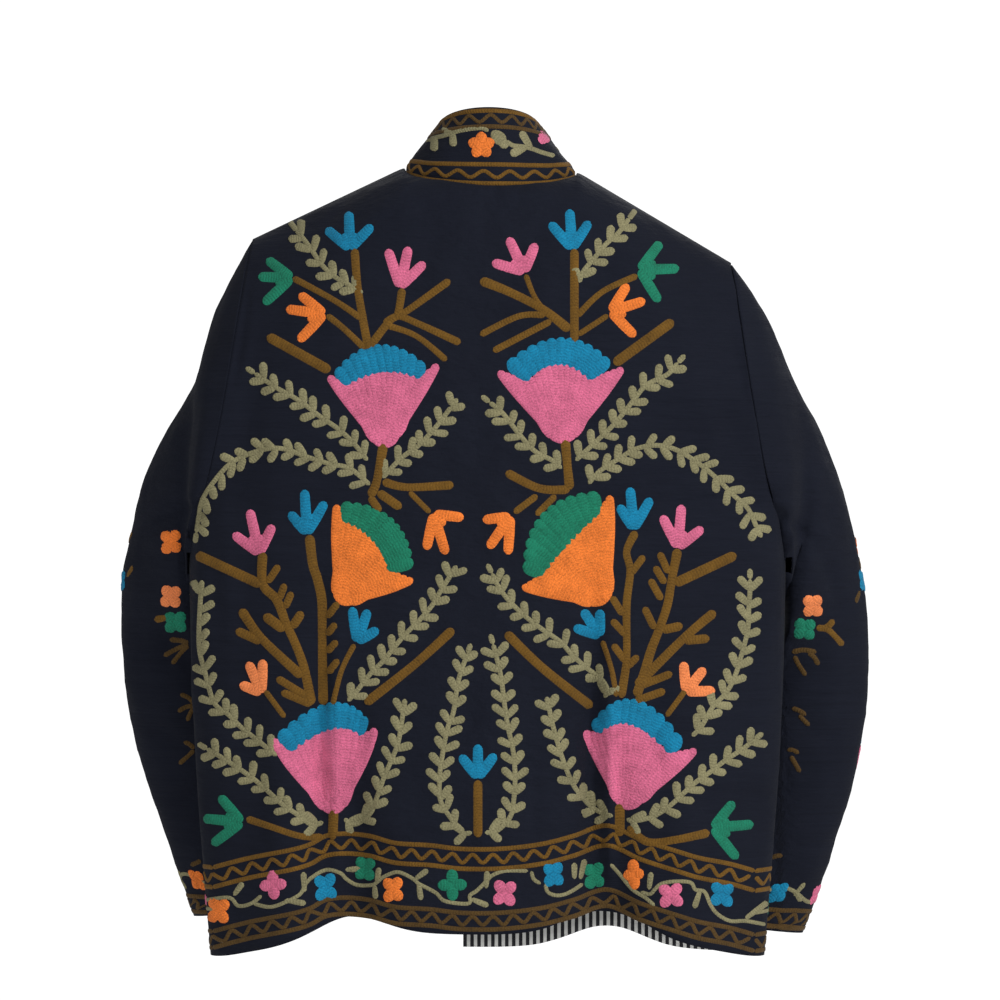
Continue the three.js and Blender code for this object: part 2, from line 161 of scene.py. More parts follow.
bm = bmesh.new()
bmesh.ops.create_circle(
    bm, cap_ends=True, segments=96, radius=FLOOR_RADIUS, matrix=Matrix.Translation((0, 0, FLOOR_HEIGHT)))
mesh = bpy.data.meshes.new("floor")
bm.to_mesh(mesh)
bm.free()
mesh.materials.append(paint)
floor = bpy.data.objects.new("floor", mesh)
scene.collection.objects.link(floor)
floor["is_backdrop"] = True

world = bpy.data.worlds.new("studio")
world.use_nodes = True
wire = Wire(world.node_tree)
soft = wire.node("ShaderNodeBackground", {}, {"Color": (1, 1, 1, 1), "Strength": GLOW})
bright = wire.node("ShaderNodeBackground", {}, {"Color": (1, 1, 1, 1), "Strength": BACKDROP})
seen = wire.node("ShaderNodeLightPath", out="Is Camera Ray")
both = wire.node("ShaderNodeMixShader", {}, {0: seen, 1: soft, 2: bright})
both.into(world.node_tree.nodes["World Output"].inputs["Surface"])
scene.world = world

for name, spot, size, power in LAMPS:
    lamp = bpy.data.lights.new(name, "AREA")
    lamp.size = size
    lamp.energy = power
    stand = bpy.data.objects.new(name, lamp)
    stand.location = spot
    stand.rotation_euler = (AIM - Vector(spot)).to_track_quat("-Z", "Y").to_euler()
    scene.collection.objects.link(stand)

# ---- Shell cloth: back, fronts, sleeves and collar ----
# Plain-woven near-black navy cotton with faint crosswise slubs, over a lining with black and pale
# stripes. Each cut piece is one thin shell on its solid's outer face, with small creases added.
CLOTH_THICK = 0.0016
LINING_THICK = 0.001
STRIPE = 0.0062
NAVY = (0.0050, 0.0062, 0.0125)
NAVY_WORN = (0.0085, 0.0105, 0.019)
INK = (0.012, 0.012, 0.016)
CHALK = (0.72, 0.72, 0.7)
CHALK_DULL = (0.6, 0.6, 0.58)
DOUBLES = 2e-5
FLAT_ENOUGH = math.radians(80)  # two triangles less bent than this are made one quad
WALL_END = math.radians(50)  # a face of the wall ends where it turns more than this
EDGE_RINGS = 4
SWELL_Z, SWELL_REACH = -322, 90
DIP_X, DIP_REACH, DIP_BELOW, DIP = 104, 40, -600, 0.0055
TUCK_BELOW, TUCK_IN = 30, 0.985


def woven(name, dark, light):
    material, shader, wire = surface(name, 0.88, 0.015)
    shader.inputs["Specular IOR Level"].default_value = 0.12
    place = wire.node("ShaderNodeAttribute", {"attribute_name": "thread"}, out="Vector")
    slub = wire.node("ShaderNodeMapping", {}, {"Vector": place, "Scale": (60, 60, 900)})
    slub = wire.node("ShaderNodeTexNoise", {}, {"Vector": slub, "Scale": 1.0, "Detail": 3.0})
    patch = wire.node("ShaderNodeTexNoise", {}, {"Vector": place, "Scale": 22.0, "Detail": 3.0})
    speck = wire.node("ShaderNodeTexNoise", {}, {"Vector": place, "Scale": 420.0, "Detail": 2.0})
    amount = slub * 0.8 + patch * 0.9 + speck * 0.3 - 0.55
    blend(wire, amount, dark, light).into(shader.inputs["Base Color"])
    crumple = wire.node("ShaderNodeMapping", {}, {"Vector": place, "Scale": (22, 22, 70)})
    crumple = wire.node("ShaderNodeTexNoise", {}, {"Vector": crumple, "Scale": 1.0, "Detail": 4.0})
    relief = slub * 0.7 + speck * 0.4 + crumple * 7.0
    feeds = {"Height": relief, "Strength": 0.7, "Distance": 0.0009}
    wire.node("ShaderNodeBump", {}, feeds).into(shader.inputs["Normal"])
    (0.8 + 0.16 * speck).into(shader.inputs["Roughness"])
    return material


def striped(name):
    material, shader, wire = surface(name, 0.7, 0.05)
    place = wire.node("ShaderNodeTexCoord", out="Object")
    across = wire.node("ShaderNodeSeparateXYZ", {}, {0: place}, out="X")
    wave = wire.maths("SINE", across * (2 * math.pi / STRIPE))
    speck = wire.node("ShaderNodeTexNoise", {}, {"Vector": place, "Scale": 700.0, "Detail": 2.0})
    pale = blend(wire, speck, CHALK_DULL, CHALK)
    blend(wire, wave > 0.05, INK, pale).into(shader.inputs["Base Color"])
    feeds = {"Height": speck, "Strength": 0.3, "Distance": 0.0004}
    wire.node("ShaderNodeBump", {}, feeds).into(shader.inputs["Normal"])
    return material


SHELL = woven("navy_cotton", NAVY, NAVY_WORN)
STRIPED = striped("striped_lining")


def outer_face(node):
    """The outer face of a CAD wall, in quads."""
    bm = bmesh.new()
    bm.from_mesh(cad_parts[node].data)
    bmesh.ops.remove_doubles(bm, verts=bm.verts, dist=DOUBLES)
    bmesh.ops.join_triangles(
        bm, faces=bm.faces, cmp_seam=False, cmp_sharp=False, cmp_uvs=False, cmp_vcols=False,
        cmp_materials=False, angle_face_threshold=FLAT_ENOUGH, angle_shape_threshold=math.pi,
        topology_influence=1.3)
    left = set(bm.faces)
    regions = []
    while left:
        queue = [left.pop()]
        region = []
        while queue:
            face = queue.pop()
            region.append(face)
            for edge in face.edges:
                if edge.calc_face_angle(0) < WALL_END:
                    near = [f for f in edge.link_faces if f in left]
                    left.difference_update(near)
                    queue.extend(near)
        regions.append(region)
    regions.sort(key=lambda region: sum(f.calc_area() for f in region))
    rest = [f for region in regions[:-1] for f in region]
    bmesh.ops.delete(bm, geom=rest, context="FACES")
    return bm


def steps_from_edge(bm):
    """How many steps each vertex near the edge of the cloth is away from it."""
    steps = {v.index: 0 for v in bm.verts if v.is_boundary}
    ring = [v for v in bm.verts if v.is_boundary]
    for step in range(1, EDGE_RINGS):
        nearer = []
        for v in ring:
            for e in v.link_edges:
                other = e.other_vert(v)
                if other.index not in steps:
                    steps[other.index] = step
                    nearer.append(other)
        ring = nearer
    return steps


def crumple(co, seed, side, creases):
    """How far the cloth stands off its solid at a point, in mm: soft lumps, less the creases."""
    lift = 2.0 * noise.noise(co * 0.017 + Vector((seed, 0, 0)))
    lift += 1.1 * noise.noise(Vector((co.x * 0.05, co.y * 0.05, co.z * 0.028 + seed)))
    lift += 0.6 * noise.noise(Vector((co.x * 0.022, co.y * 0.022, co.z * 0.085 - seed)))
    lift += 0.28 * noise.noise(co * 0.14 + Vector((0, seed, 0)))
    for x0, z0, x1, z1, width, depth, face in creases:
        if face != side:
            continue
        run = Vector((x1 - x0, z1 - z0))
        along = max(0.0, min(1.0, Vector((co.x - x0, co.z - z0)).dot(run) / run.length_squared))
        away = (Vector((co.x - x0, co.z - z0)) - run * along).length / width
        lift -= depth * math.exp(-away * away) * math.sin(math.pi * (0.08 + 0.84 * along))
    return lift


def cut_piece(node, creases, slot, flat, middle, seed, swell=0.0, tuck=0.0):
    """Makes one cut piece of cloth. Returns the tree that rays are cast on, and its edge."""
    bm = outer_face(node)
    mesh = bpy.data.meshes.new(node + "_cloth")
    bm.to_mesh(mesh)
    bm.free()
    piece = bpy.data.objects.new(node + "_cloth", mesh)
    scene.collection.objects.link(piece)
    smooth = piece.modifiers.new("smooth", "SUBSURF")
    smooth.levels = smooth.render_levels = 2
    smooth.boundary_smooth = "PRESERVE_CORNERS"
    ready = bpy.data.meshes.new_from_object(piece.evaluated_get(bpy.context.evaluated_depsgraph_get()))
    piece.modifiers.clear()
    bm = bmesh.new()
    bm.from_mesh(ready)
    bm.normal_update()
    steps = steps_from_edge(bm)
    normals = [v.normal.copy() for v in bm.verts]
    for v, normal in zip(bm.verts, normals):
        co = v.co * 1000
        calm = steps.get(v.index, EDGE_RINGS) / EDGE_RINGS
        lift = crumple(co, seed, 1 if normal.y > 0.2 else -1, creases)
        v.co += normal * (lift * calm / 1000)
        if swell * normal.x > 0 and abs(co.z - SWELL_Z) < SWELL_REACH:
            bend = math.cos((co.z - SWELL_Z) / (2 * SWELL_REACH) * math.pi)
            v.co.x += swell * abs(normal.x) * bend ** 2
        hem = node == "back" and v.is_boundary and co.z < DIP_BELOW
        if hem and abs(co.x - DIP_X) < DIP_REACH:
            v.co.z -= DIP * math.cos((co.x - DIP_X) / (2 * DIP_REACH) * math.pi) ** 2
        if tuck and v.is_boundary and co.z < TUCK_BELOW:
            v.co.z -= tuck
            v.co.x *= TUCK_IN
            v.co.y *= TUCK_IN
    bm.normal_update()
    tree = BVHTree.FromBMesh(bm)
    rim = [v.co.copy() for v in bm.verts if v.is_boundary]
    for f in bm.faces:
        f.smooth = True
    bm.to_mesh(mesh)
    thread = mesh.attributes.new("thread", "FLOAT_VECTOR", "POINT")
    for v in bm.verts:
        turn = math.atan2(v.co.x - middle[0], middle[1] - v.co.y)
        thread.data[v.index].vector = (turn * middle[2], 0.31 * seed, v.co.z)
    bm.free()
    mesh.materials.append(SHELL)
    mesh.materials.append(STRIPED)
    thick = piece.modifiers.new("thick", "SOLIDIFY")
    thick.thickness = CLOTH_THICK
    thick.offset = -1
    thick.material_offset = 0 if swell else 1
    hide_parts(node)
    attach(piece, "root")
    return tree, rim


# Creases run from one point to the other, in mm: x, z, x, z, width, depth, and the side they are
# on, -1 for the back and 1 for the front.
BACK_CREASES = (
    (142, -281, 200, -278, 5, 2.8, -1),
    (-210, -95, -221, -180, 6, 5.0, -1),
    (214, -139, 226, -205, 6, 3.0, -1),
    (-60, -30, 70, -34, 16, 1.5, -1),
    (150, -330, 140, -520, 14, 2.4, -1),
    (-40, -250, -52, -420, 16, 2.2, -1),
    (30, -430, 44, -640, 15, 2.4, -1),
    (-205, -470, -190, -640, 12, 2.6, -1),
    (195, -480, 188, -640, 13, 2.4, -1),
    (-100, -180, -160, -260, 12, 1.8, -1),
    (60, -190, 130, -270, 13, 1.8, -1),
    (-145, -330, -144, -668, 7, 5.4, -1),
    (-131, -350, -130, -662, 6, -4.6, -1),
    (-112, -430, -104, -668, 8, 2.6, -1),
    (91, -350, 92, -668, 8, 8.4, -1),
    (106, -370, 107, -664, 7, -7.4, -1),
    (121, -420, 121, -655, 12, -2.2, -1),
    (146, -440, 150, -650, 10, 2.6, -1),
    (-20, -480, -16, -650, 12, 2.0, -1),
    (-240, -300, -232, -420, 9, 2.6, -1),
    (236, -330, 226, -440, 9, 2.6, -1),
)
FRONT_CREASES = (
    (70, -120, 120, -300, 14, 2.4, 1),
    (150, -250, 175, -480, 13, 2.2, 1),
    (40, -380, 60, -620, 14, 2.2, 1),
    (-66, -130, -130, -290, 14, 2.4, 1),
    (-150, -280, -166, -500, 13, 2.2, 1),
    (-44, -360, -70, -610, 14, 2.2, 1),
)
SLEEVE_CREASES = (
    (250, -290, 296, -322, 6, 5.0, -1),
    (262, -310, 306, -318, 7, -2.4, -1),
    (290, -318, 318, -385, 8, 3.2, -1),
    (278, -225, 282, -305, 6, 2.6, -1),
    (255, -150, 300, -200, 9, 2.4, -1),
    (250, -400, 322, -372, 8, 3.4, -1),
    (262, -470, 320, -500, 8, 2.8, -1),
    (240, -540, 300, -520, 9, 2.8, -1),
    (250, -285, 300, -300, 8, 3.6, 1),
    (245, -360, 305, -330, 8, 3.0, 1),
    (250, -200, 300, -240, 9, 2.4, 1),
    (-308, -305, -246, -282, 7, 4.4, -1),
    (-300, -320, -256, -322, 7, -2.0, -1),
    (-300, -200, -262, -160, 9, 2.4, -1),
    (-320, -420, -245, -395, 8, 3.2, -1),
    (-310, -480, -250, -505, 9, 3.0, -1),
    (-290, -550, -230, -532, 9, 2.8, -1),
    (-305, -290, -245, -310, 8, 3.4, 1),
    (-300, -370, -240, -350, 8, 3.0, 1),
    (-310, -470, -250, -500, 8, 2.4, 1),
)

# Node, creases, slot, flat size of the cut in m, the line that its threads run round (x, y and
# radius), seed, how far the elbow stands out, and how far the foot is tucked in.
CUTS = (
    ("back", BACK_CREASES, "shell_cloth", (0.58, 0.66), (0, 0.02, 0.2), 3),
    ("front_right", FRONT_CREASES, "shell_cloth", (0.29, 0.66), (0, 0.02, 0.2), 7),
    ("front_left", FRONT_CREASES, "shell_cloth", (0.29, 0.66), (0, 0.02, 0.2), 11),
    ("sleeve_right", SLEEVE_CREASES, "shell_cloth", (0.32, 0.62), (0.26, 0.04, 0.05), 16, -0.009),
    ("sleeve_left", SLEEVE_CREASES, "shell_cloth", (0.32, 0.62), (-0.25, 0.04, 0.05), 21, 0.018),
    ("collar", (), "collar_cloth", (0.36, 0.075), (0, 0.02, 0.08), 25, 0.0, 0.005),
)
cloth = {cut[0]: cut_piece(*cut) for cut in CUTS}
back_tree = cloth["back"][0]

# ---- Lining along the right front's hem ----
# The striped cotton lining shows below the back's hem as the inside of the front. It is one flat
# strip, sewn to the front along its hem.
bm = outer_face("lining_front_right")
mesh = bpy.data.meshes.new("lining_strip")
for f in bm.faces:
    f.smooth = True
area = sum(f.calc_area() for f in bm.faces)
bm.to_mesh(mesh)
bm.free()
mesh.materials.append(STRIPED)
lining = bpy.data.objects.new("lining_strip", mesh)
scene.collection.objects.link(lining)
smooth = lining.modifiers.new("smooth", "SUBSURF")
smooth.levels = smooth.render_levels = 2
smooth.boundary_smooth = "PRESERVE_CORNERS"
thick = lining.modifiers.new("thick", "SOLIDIFY")
thick.thickness = LINING_THICK
thick.offset = -1
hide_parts("lining_front_right")
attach(lining, "root")

# ---- Embroidery on the back ----
# Thick cotton yarn in rows of chain stitch, each link two slanted grains. The motifs are flowers,
# palm-like blooms, leafy vines and bare stems, laid out in mm across and up from the neck.
YARNS = {
    "pink": (0.61, 0.13, 0.24),
    "blue": (0.002, 0.185, 0.34),
    "green": (0.006, 0.17, 0.095),
    "orange": (0.76, 0.18, 0.026),
    "coral": (0.82, 0.22, 0.07),
    "olive": (0.225, 0.205, 0.108),
    "ochre": (0.135, 0.065, 0.006),
    # brown is a darker copy of the ochre yarn; on the hem border's lower strip it is partly the strip's own
    # tone and partly painted shade from the hem's folds.
    "brown": (0.075, 0.040, 0.008),
}
PITCH = 0.0026
RING = 0.0018
SHORTEST = 0.002
JUMP = 0.006
PROFILE = ((-1.0, -0.4), (-0.6, 0.8), (0.0, 1.0), (0.6, 0.8), (1.0, -0.4))
SCALLOPS = 11
BACK_SHEET = -0.08
dice = random.Random(5)


def yarn(name, colour):
    material, shader, wire = surface(name + "_yarn", 0.85, 0.04)
    place = wire.node("ShaderNodeTexCoord", out="Object")
    stitch = wire.node("ShaderNodeAttribute", {"attribute_name": "stitch"}, out="Vector")
    across = wire.node("ShaderNodeSeparateXYZ", {}, {0: stitch}, out="X")
    along = wire.node("ShaderNodeSeparateXYZ", {}, {0: stitch}, out="Y")
    slant = wire.maths("ABSOLUTE", across) * -2.4 + along * (2 * math.pi / PITCH)
    wave = wire.maths("SINE", slant)
    patch = wire.node("ShaderNodeTexNoise", {}, {"Vector": place, "Scale": 70.0, "Detail": 2.0})
    fibre = wire.node("ShaderNodeTexNoise", {}, {"Vector": place, "Scale": 900.0, "Detail": 3.0})
    low = tuple(c * 0.5 for c in colour)
    high = tuple(min(1.0, c * 1.3) for c in colour)
    # The colour also follows the chain-link wave a little: painted shade in the grooves between the links
    # and painted highlight on the link tops.
    amount = patch * 0.8 + fibre * 1.5 + wave * 0.1 - 0.6
    blend(wire, amount, low, high).into(shader.inputs["Base Color"])
    feeds = {"Height": fibre + wave * 0.22, "Strength": 0.8, "Distance": 0.0007}
    wire.node("ShaderNodeBump", {}, feeds).into(shader.inputs["Normal"])
    return material


YARN_CLOTH = {name: yarn(name, colour) for name, colour in YARNS.items()}
YARN_INDEX = {name: k for k, name in enumerate(YARNS)}
SCRAP = bpy.data.meshes.new("scrap")


class Hoop:
    """A piece of cloth held ready to sew: plan carries a point of the pattern on to the cloth."""

    def __init__(self, plan):
        self.plan = plan
        self.start()

    def start(self):
        self.bm = bmesh.new()
        self.bm.verts.layers.float_vector.new("stitch")
        self.rows = 0

    def fits(self, points):
        return all(self.plan(Vector(p)) for p in points)

    def row(self, points, width, colour, loose=False):
        """Sews one row of chain through the points. Width is one number or one for each point."""
        points = [Vector(p) for p in points]
        widths = list(width) if isinstance(width, (list, tuple)) else [width] * len(points)
        dense = []
        for k in range(len(points) - 1):
            a, b = points[max(k - 1, 0)], points[k]
            c, d = points[k + 1], points[min(k + 2, len(points) - 1)]
            steps = max(2, round((c - b).length / 1.0))
            for n in range(steps):
                t = n / steps
                spot = 0.5 * (2 * b + (c - a) * t + (2 * a - 5 * b + 4 * c - d) * t * t
                              + (3 * b - a - 3 * c + d) * t * t * t)
                dense.append((spot, widths[k] + (widths[k + 1] - widths[k]) * t))
        dense.append((points[-1], widths[-1]))
        landed = [self.plan(spot) for spot, _ in dense]
        if any(hit is None for hit in landed) and not loose:
            return
        start = 0
        for end in range(1, len(dense) + 1):
            gap = end == len(dense) or landed[end] is None or landed[end - 1] is None
            if gap or (landed[end][0] - landed[end - 1][0]).length > JUMP:
                self.ridge(dense[start:end], landed[start:end], colour)
                start = end

    def ridge(self, dense, landed, colour):
        """Raises one unbroken stretch of a row: a rounded strip with blunt ends."""
        if len(dense) < 3 or landed[0] is None or landed[-1] is None:
            return
        lengths = [0.0]
        for k in range(1, len(landed)):
            lengths.append(lengths[-1] + (landed[k][0] - landed[k - 1][0]).length)
        total = lengths[-1]
        if total < SHORTEST:
            return
        count = max(4, round(total / RING))
        rings = []
        k = 0
        for n in range(count + 1):
            goal = total * n / count
            while k < len(lengths) - 2 and lengths[k + 1] < goal:
                k += 1
            share = min(1.0, (goal - lengths[k]) / max(1e-9, lengths[k + 1] - lengths[k]))
            spot = dense[k][0].lerp(dense[k + 1][0], share)
            width = dense[k][1] + (dense[k + 1][1] - dense[k][1]) * share
            run = dense[min(k + 2, len(dense) - 1)][0] - dense[max(k - 1, 0)][0]
            cross = Vector((run.y, -run.x)).normalized() * (width / 2)
            blunt = min(1.0, (min(goal, total - goal) + 0.0001) / (width / 2000))
            taper = max(0.3, math.sqrt(1 - (1 - blunt) ** 2))
            here = landed[k][0].lerp(landed[k + 1][0], share)
            normal = landed[k][1]
            flat = (landed[k + 1][0] - landed[k][0]).cross(normal).normalized()
            sides = []
            for across, _ in PROFILE:
                hit = self.plan(spot + cross * across * taper) if across else (here,)
                reach = (hit[0] - here) if hit else None
                if reach is None or reach.length > width / 550:
                    reach = flat * (across * width / 2000 * taper)
                sides.append(reach)
            high = (0.0005 + 0.00005 * width) * dice.uniform(0.85, 1.15) * (0.5 + 0.5 * taper)
            rings.append((here, normal, sides, high, goal))
        strip = bmesh.new()
        stitch = strip.verts.layers.float_vector.new("stitch")
        bmesh.ops.create_grid(strip, x_segments=4, y_segments=count, size=1)
        for v in strip.verts:
            column = round(2 * v.co.x + 2)
            across, lift = PROFILE[column]
            here, normal, sides, high, goal = rings[round((v.co.y + 1) / 2 * count)]
            v[stitch] = (across, goal, self.rows % 97)
            v.co = here + sides[column] + normal * (high * lift)
        for f in strip.faces:
            f.smooth = True
            f.material_index = YARN_INDEX[colour]
        strip.normal_update()
        strip.faces.ensure_lookup_table()
        if strip.faces[0].normal.dot(rings[0][1]) + strip.faces[-1].normal.dot(rings[-1][1]) < 0:
            bmesh.ops.reverse_faces(strip, faces=strip.faces)
        strip.to_mesh(SCRAP)
        strip.free()
        self.bm.from_mesh(SCRAP)
        self.rows += 1

    def stem(self, width, points, colour="ochre"):
        """A bare stem, a little thicker at its ends."""
        widths = [width * dice.uniform(0.9, 1.05) for _ in points]
        widths[0] = widths[-1] = width * 1.12
        self.row(points, widths, colour)

    def leaf(self, root, tip, wide=7.0, colour="olive"):
        """One blunt leaf."""
        root, tip = Vector(root), Vector(tip)
        self.row([root, root.lerp(tip, 0.45), tip], [wide * 0.62, wide * 0.9, wide], colour)

    def vine(self, points, colour="olive", leaf=14.0):
        """A leafy vine, with pairs of blunt leaves that point to its tip."""
        self.row(points, 4.8, colour)
        points = [Vector(p) for p in points]
        travelled = 5.0
        for a, b in zip(points, points[1:]):
            run = (b - a).normalized()
            while travelled < (b - a).length:
                for side in (-1, 1):
                    root = a + run * (travelled + side * dice.uniform(-2.0, 2.0))
                    way = Matrix.Rotation(math.radians(side * dice.uniform(36, 56)), 2) @ run
                    tip = root + way * dice.uniform(0.88, 1.1) * leaf
                    self.leaf(root, tip, dice.uniform(7.8, 9.0), colour)
                travelled += dice.uniform(12.4, 14.6)
            travelled -= (b - a).length
        run = (points[-1] - points[-2]).normalized()
        self.row([points[-1], points[-1] + run * 9], 5.6, colour)

    def tulip(self, colour, base, tips, wide=10.4):
        """A small flower of solid lobes that spread from a filled heart."""
        base = Vector(base)
        tips = [Vector(t) for t in tips]
        up = tips[1] - base
        around = sorted(tips, key=lambda t: math.atan2((t - base).cross(up), (t - base).dot(up)))
        for a, b in zip(around, around[1:]):
            self.row([base, base.lerp((a + b) / 2, 0.3), base.lerp((a + b) / 2, 0.55)], wide, colour)
        for tip in tips:
            end = tip + (tip - base).normalized() * 1.8
            self.row([base, base.lerp(end, 0.5), end], [wide * 0.9, wide, wide * 0.9], colour)

    def bloom(self, cup, crown, base, left, right, inner, outer, swell=1.05):
        """A palm-like bloom: rows fan out from its base to two horns, under a scalloped crown."""
        base, left, right = Vector(base), Vector(left), Vector(right)
        inner = [Vector(p) for p in inner]
        outer = [Vector(p) for p in outer]
        up = ((left + right) / 2 - base).normalized()
        side = Vector((up.y, -up.x))

        def bow(ends, share):
            low, mid, high = ends
            mid = 2 * mid - (low + high) / 2
            return low * (1 - share) ** 2 + mid * 2 * share * (1 - share) + high * share ** 2

        brim = [left] + [bow(inner, n / 10) for n in range(11)] + [right]
        brim = [((p - base).dot(side), (p - base).dot(up)) for p in brim]
        low, high = brim[0][0], brim[-1][0]

        def place(u, t):
            x = low + (high - low) * (u + 1) / 2
            tall = brim[-1][1]
            for (x0, y0), (x1, y1) in zip(brim, brim[1:]):
                if x <= x1:
                    tall = y0 + (y1 - y0) * max(0.0, x - x0) / max(0.1, x1 - x0)
                    break
            spread = 0.17 + 0.83 * (1 - max(0.0, 1 - t) ** swell)
            return base + side * (x * spread) + up * (tall * t - 3.5 * (1 - u * u) * max(0.0, 1 - t) ** 4)

        rows = 2 * round((high - low) / 10.8) + 1
        gap = (high - low) / (rows - 1)
        for k in range(rows):
            u = 2 * k / (rows - 1) - 1
            begin = 0.0 if k % 4 == 0 else 0.06 if k % 2 == 0 else 0.2
            path = []
            widths = []
            for n in range(9):
                t = begin + (1 - begin) * n / 8
                times = 4.5 if t < 0.06 else 2.6 if t < 0.2 else 1
                path.append(place(u, t))
                widths.append(max(4.4, min(8.4, gap * (1.2 - max(0.0, 1 - t) ** 1.5) * times * 1.55)))
            self.row(path, widths, cup)
        brow = [place(-1, 1 - n / 8) for n in range(8)] + [place(n / 4 - 1, 0) for n in range(9)]
        brow += [place(1, (n + 1) / 8) for n in range(8)]
        self.row(brow, 4.6, cup)
        for k in range(SCALLOPS):
            u = (k + 0.5) / SCALLOPS
            foot = bow(inner, u) - up * 2.4
            tip = bow(outer, u)
            wide = (bow(outer, u + 0.4 / SCALLOPS) - bow(outer, u - 0.4 / SCALLOPS)).length * 1.75
            self.row([foot, foot.lerp(tip, 0.5), tip], [wide * 0.85, wide, wide], crown)

    def posy(self, colour, centre, wide=21.0, tall=23.0, spin=45):
        """A flower of four solid lobes, as in the borders."""
        centre = Vector(centre)
        spin += dice.uniform(-6, 6)
        for quarter in range(4):
            turn = math.radians(spin + quarter * 90)
            way = Vector((math.cos(turn) * wide, math.sin(turn) * tall)) * 0.52
            self.row([centre, centre + way * 0.5, centre + way], [10.0, 11.6, 10.8], colour)

    def wave(self, points, colour, width, step, swing):
        """A zigzag row that follows a line."""
        points = [Vector(p) for p in points]
        path = []
        flip = 1
        travelled = 0.0
        for a, b in zip(points, points[1:]):
            run = (b - a).normalized()
            while travelled < (b - a).length:
                path.append(a + run * travelled + Vector((-run.y, run.x)) * (flip * swing))
                flip = -flip
                travelled += step
            travelled -= (b - a).length
        self.row(path, width, colour, loose=True)

    def finish(self, name):
        """Hands over what has been sewn so far as one piece, and starts the next."""
        mesh = bpy.data.meshes.new(name)
        self.bm.to_mesh(mesh)
        self.bm.free()
        self.start()
        for material in YARN_CLOTH.values():
            mesh.materials.append(material)
        work = bpy.data.objects.new(name, mesh)
        scene.collection.objects.link(work)
        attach(work, "root")


def seen_from(eye, plane, trees, axis=1):
    """Lays the pattern on an upright sheet and carries it on to the cloth in lines from the eye.
    The second function finds a point of the cloth on the sheet."""
    def plan(spot):
        target = Vector((spot.x / 1000, spot.x / 1000, spot.y / 1000))
        target[axis] = plane
        way = (target - eye).normalized()
        found = [hit for hit in (tree.ray_cast(eye, way) for tree in trees) if hit[0]]
        return min(found, key=lambda hit: hit[3])[:2] if found else None

    def find(point):
        away = point - eye
        spot = eye + away * ((plane - eye[axis]) / away[axis])
        return Vector((spot[1 - axis], spot.z)) * 1000

    return plan, find


BACK_VINES = (
    ((-107, -102), (-119, -95), (-131, -88), (-142, -78), (-153, -62), (-164, -48)),
    ((79, -93), (83, -83), (93, -71), (102, -60), (113, -50), (122, -38)),
    ((-103, -246), (-115, -231), (-128, -219), (-144, -208), (-161, -195), (-182, -183), (-200, -171)),
    ((-101, -267), (-118, -253), (-135, -249), (-155, -243), (-175, -236), (-194, -237), (-220, -248),
     (-240, -271), (-247, -286), (-250, -308)),
    ((-90, -261), (-74, -244), (-59, -233), (-44, -217), (-31, -200)),
    ((64, -253), (56, -246), (41, -238), (28, -224), (13, -205), (2, -196)),
    ((76, -246), (90, -233), (105, -219), (115, -208), (126, -194), (137, -181), (155, -172), (164, -162)),
    ((87, -266), (97, -255), (114, -244), (128, -236), (146, -233), (163, -237), (181, -248), (197, -261),
     (211, -275), (224, -287), (232, -304)),
    ((-181, -500), (-197, -487), (-211, -476), (-222, -465), (-235, -454), (-243, -427), (-247, -412),
     (-248, -397), (-247, -372), (-246, -358)),
    ((-141, -557), (-151, -559), (-164, -550), (-177, -541), (-189, -530), (-202, -519), (-215, -510),
     (-229, -501), (-241, -494)),
    ((-123, -554), (-114, -559), (-101, -550), (-95, -536), (-89, -519), (-83, -505), (-77, -490),
     (-74, -474), (-72, -460)),
    ((-120, -453), (-112, -444), (-101, -430), (-90, -419), (-81, -408), (-71, -396), (-58, -383),
     (-47, -370), (-40, -358), (-31, -344)),
    ((-13, -566), (-22, -566), (-31, -554), (-40, -539), (-41, -519), (-38, -496), (-34, -476),
     (-29, -462), (-26, -442), (-23, -429), (-17, -412)),
    ((-2, -566), (9, -564), (20, -552), (23, -536), (24, -516), (22, -494), (18, -476), (15, -457),
     (12, -433), (8, -415), (5, -404)),
    ((108, -552), (101, -550), (90, -544), (79, -532), (72, -521), (65, -503), (60, -487), (56, -472),
     (53, -458)),
    ((101, -450), (103, -442), (97, -433), (85, -424), (72, -412), (63, -402), (47, -391), (34, -381),
     (20, -368), (10, -355), (4, -343)),
    ((176, -483), (184, -475), (194, -458), (206, -445), (214, -429), (219, -412), (224, -392),
     (225, -373), (226, -358), (226, -348)),
    ((120, -554), (126, -556), (143, -552), (157, -543), (169, -532), (179, -523), (193, -513),
     (206, -503), (220, -494), (230, -486)),
)
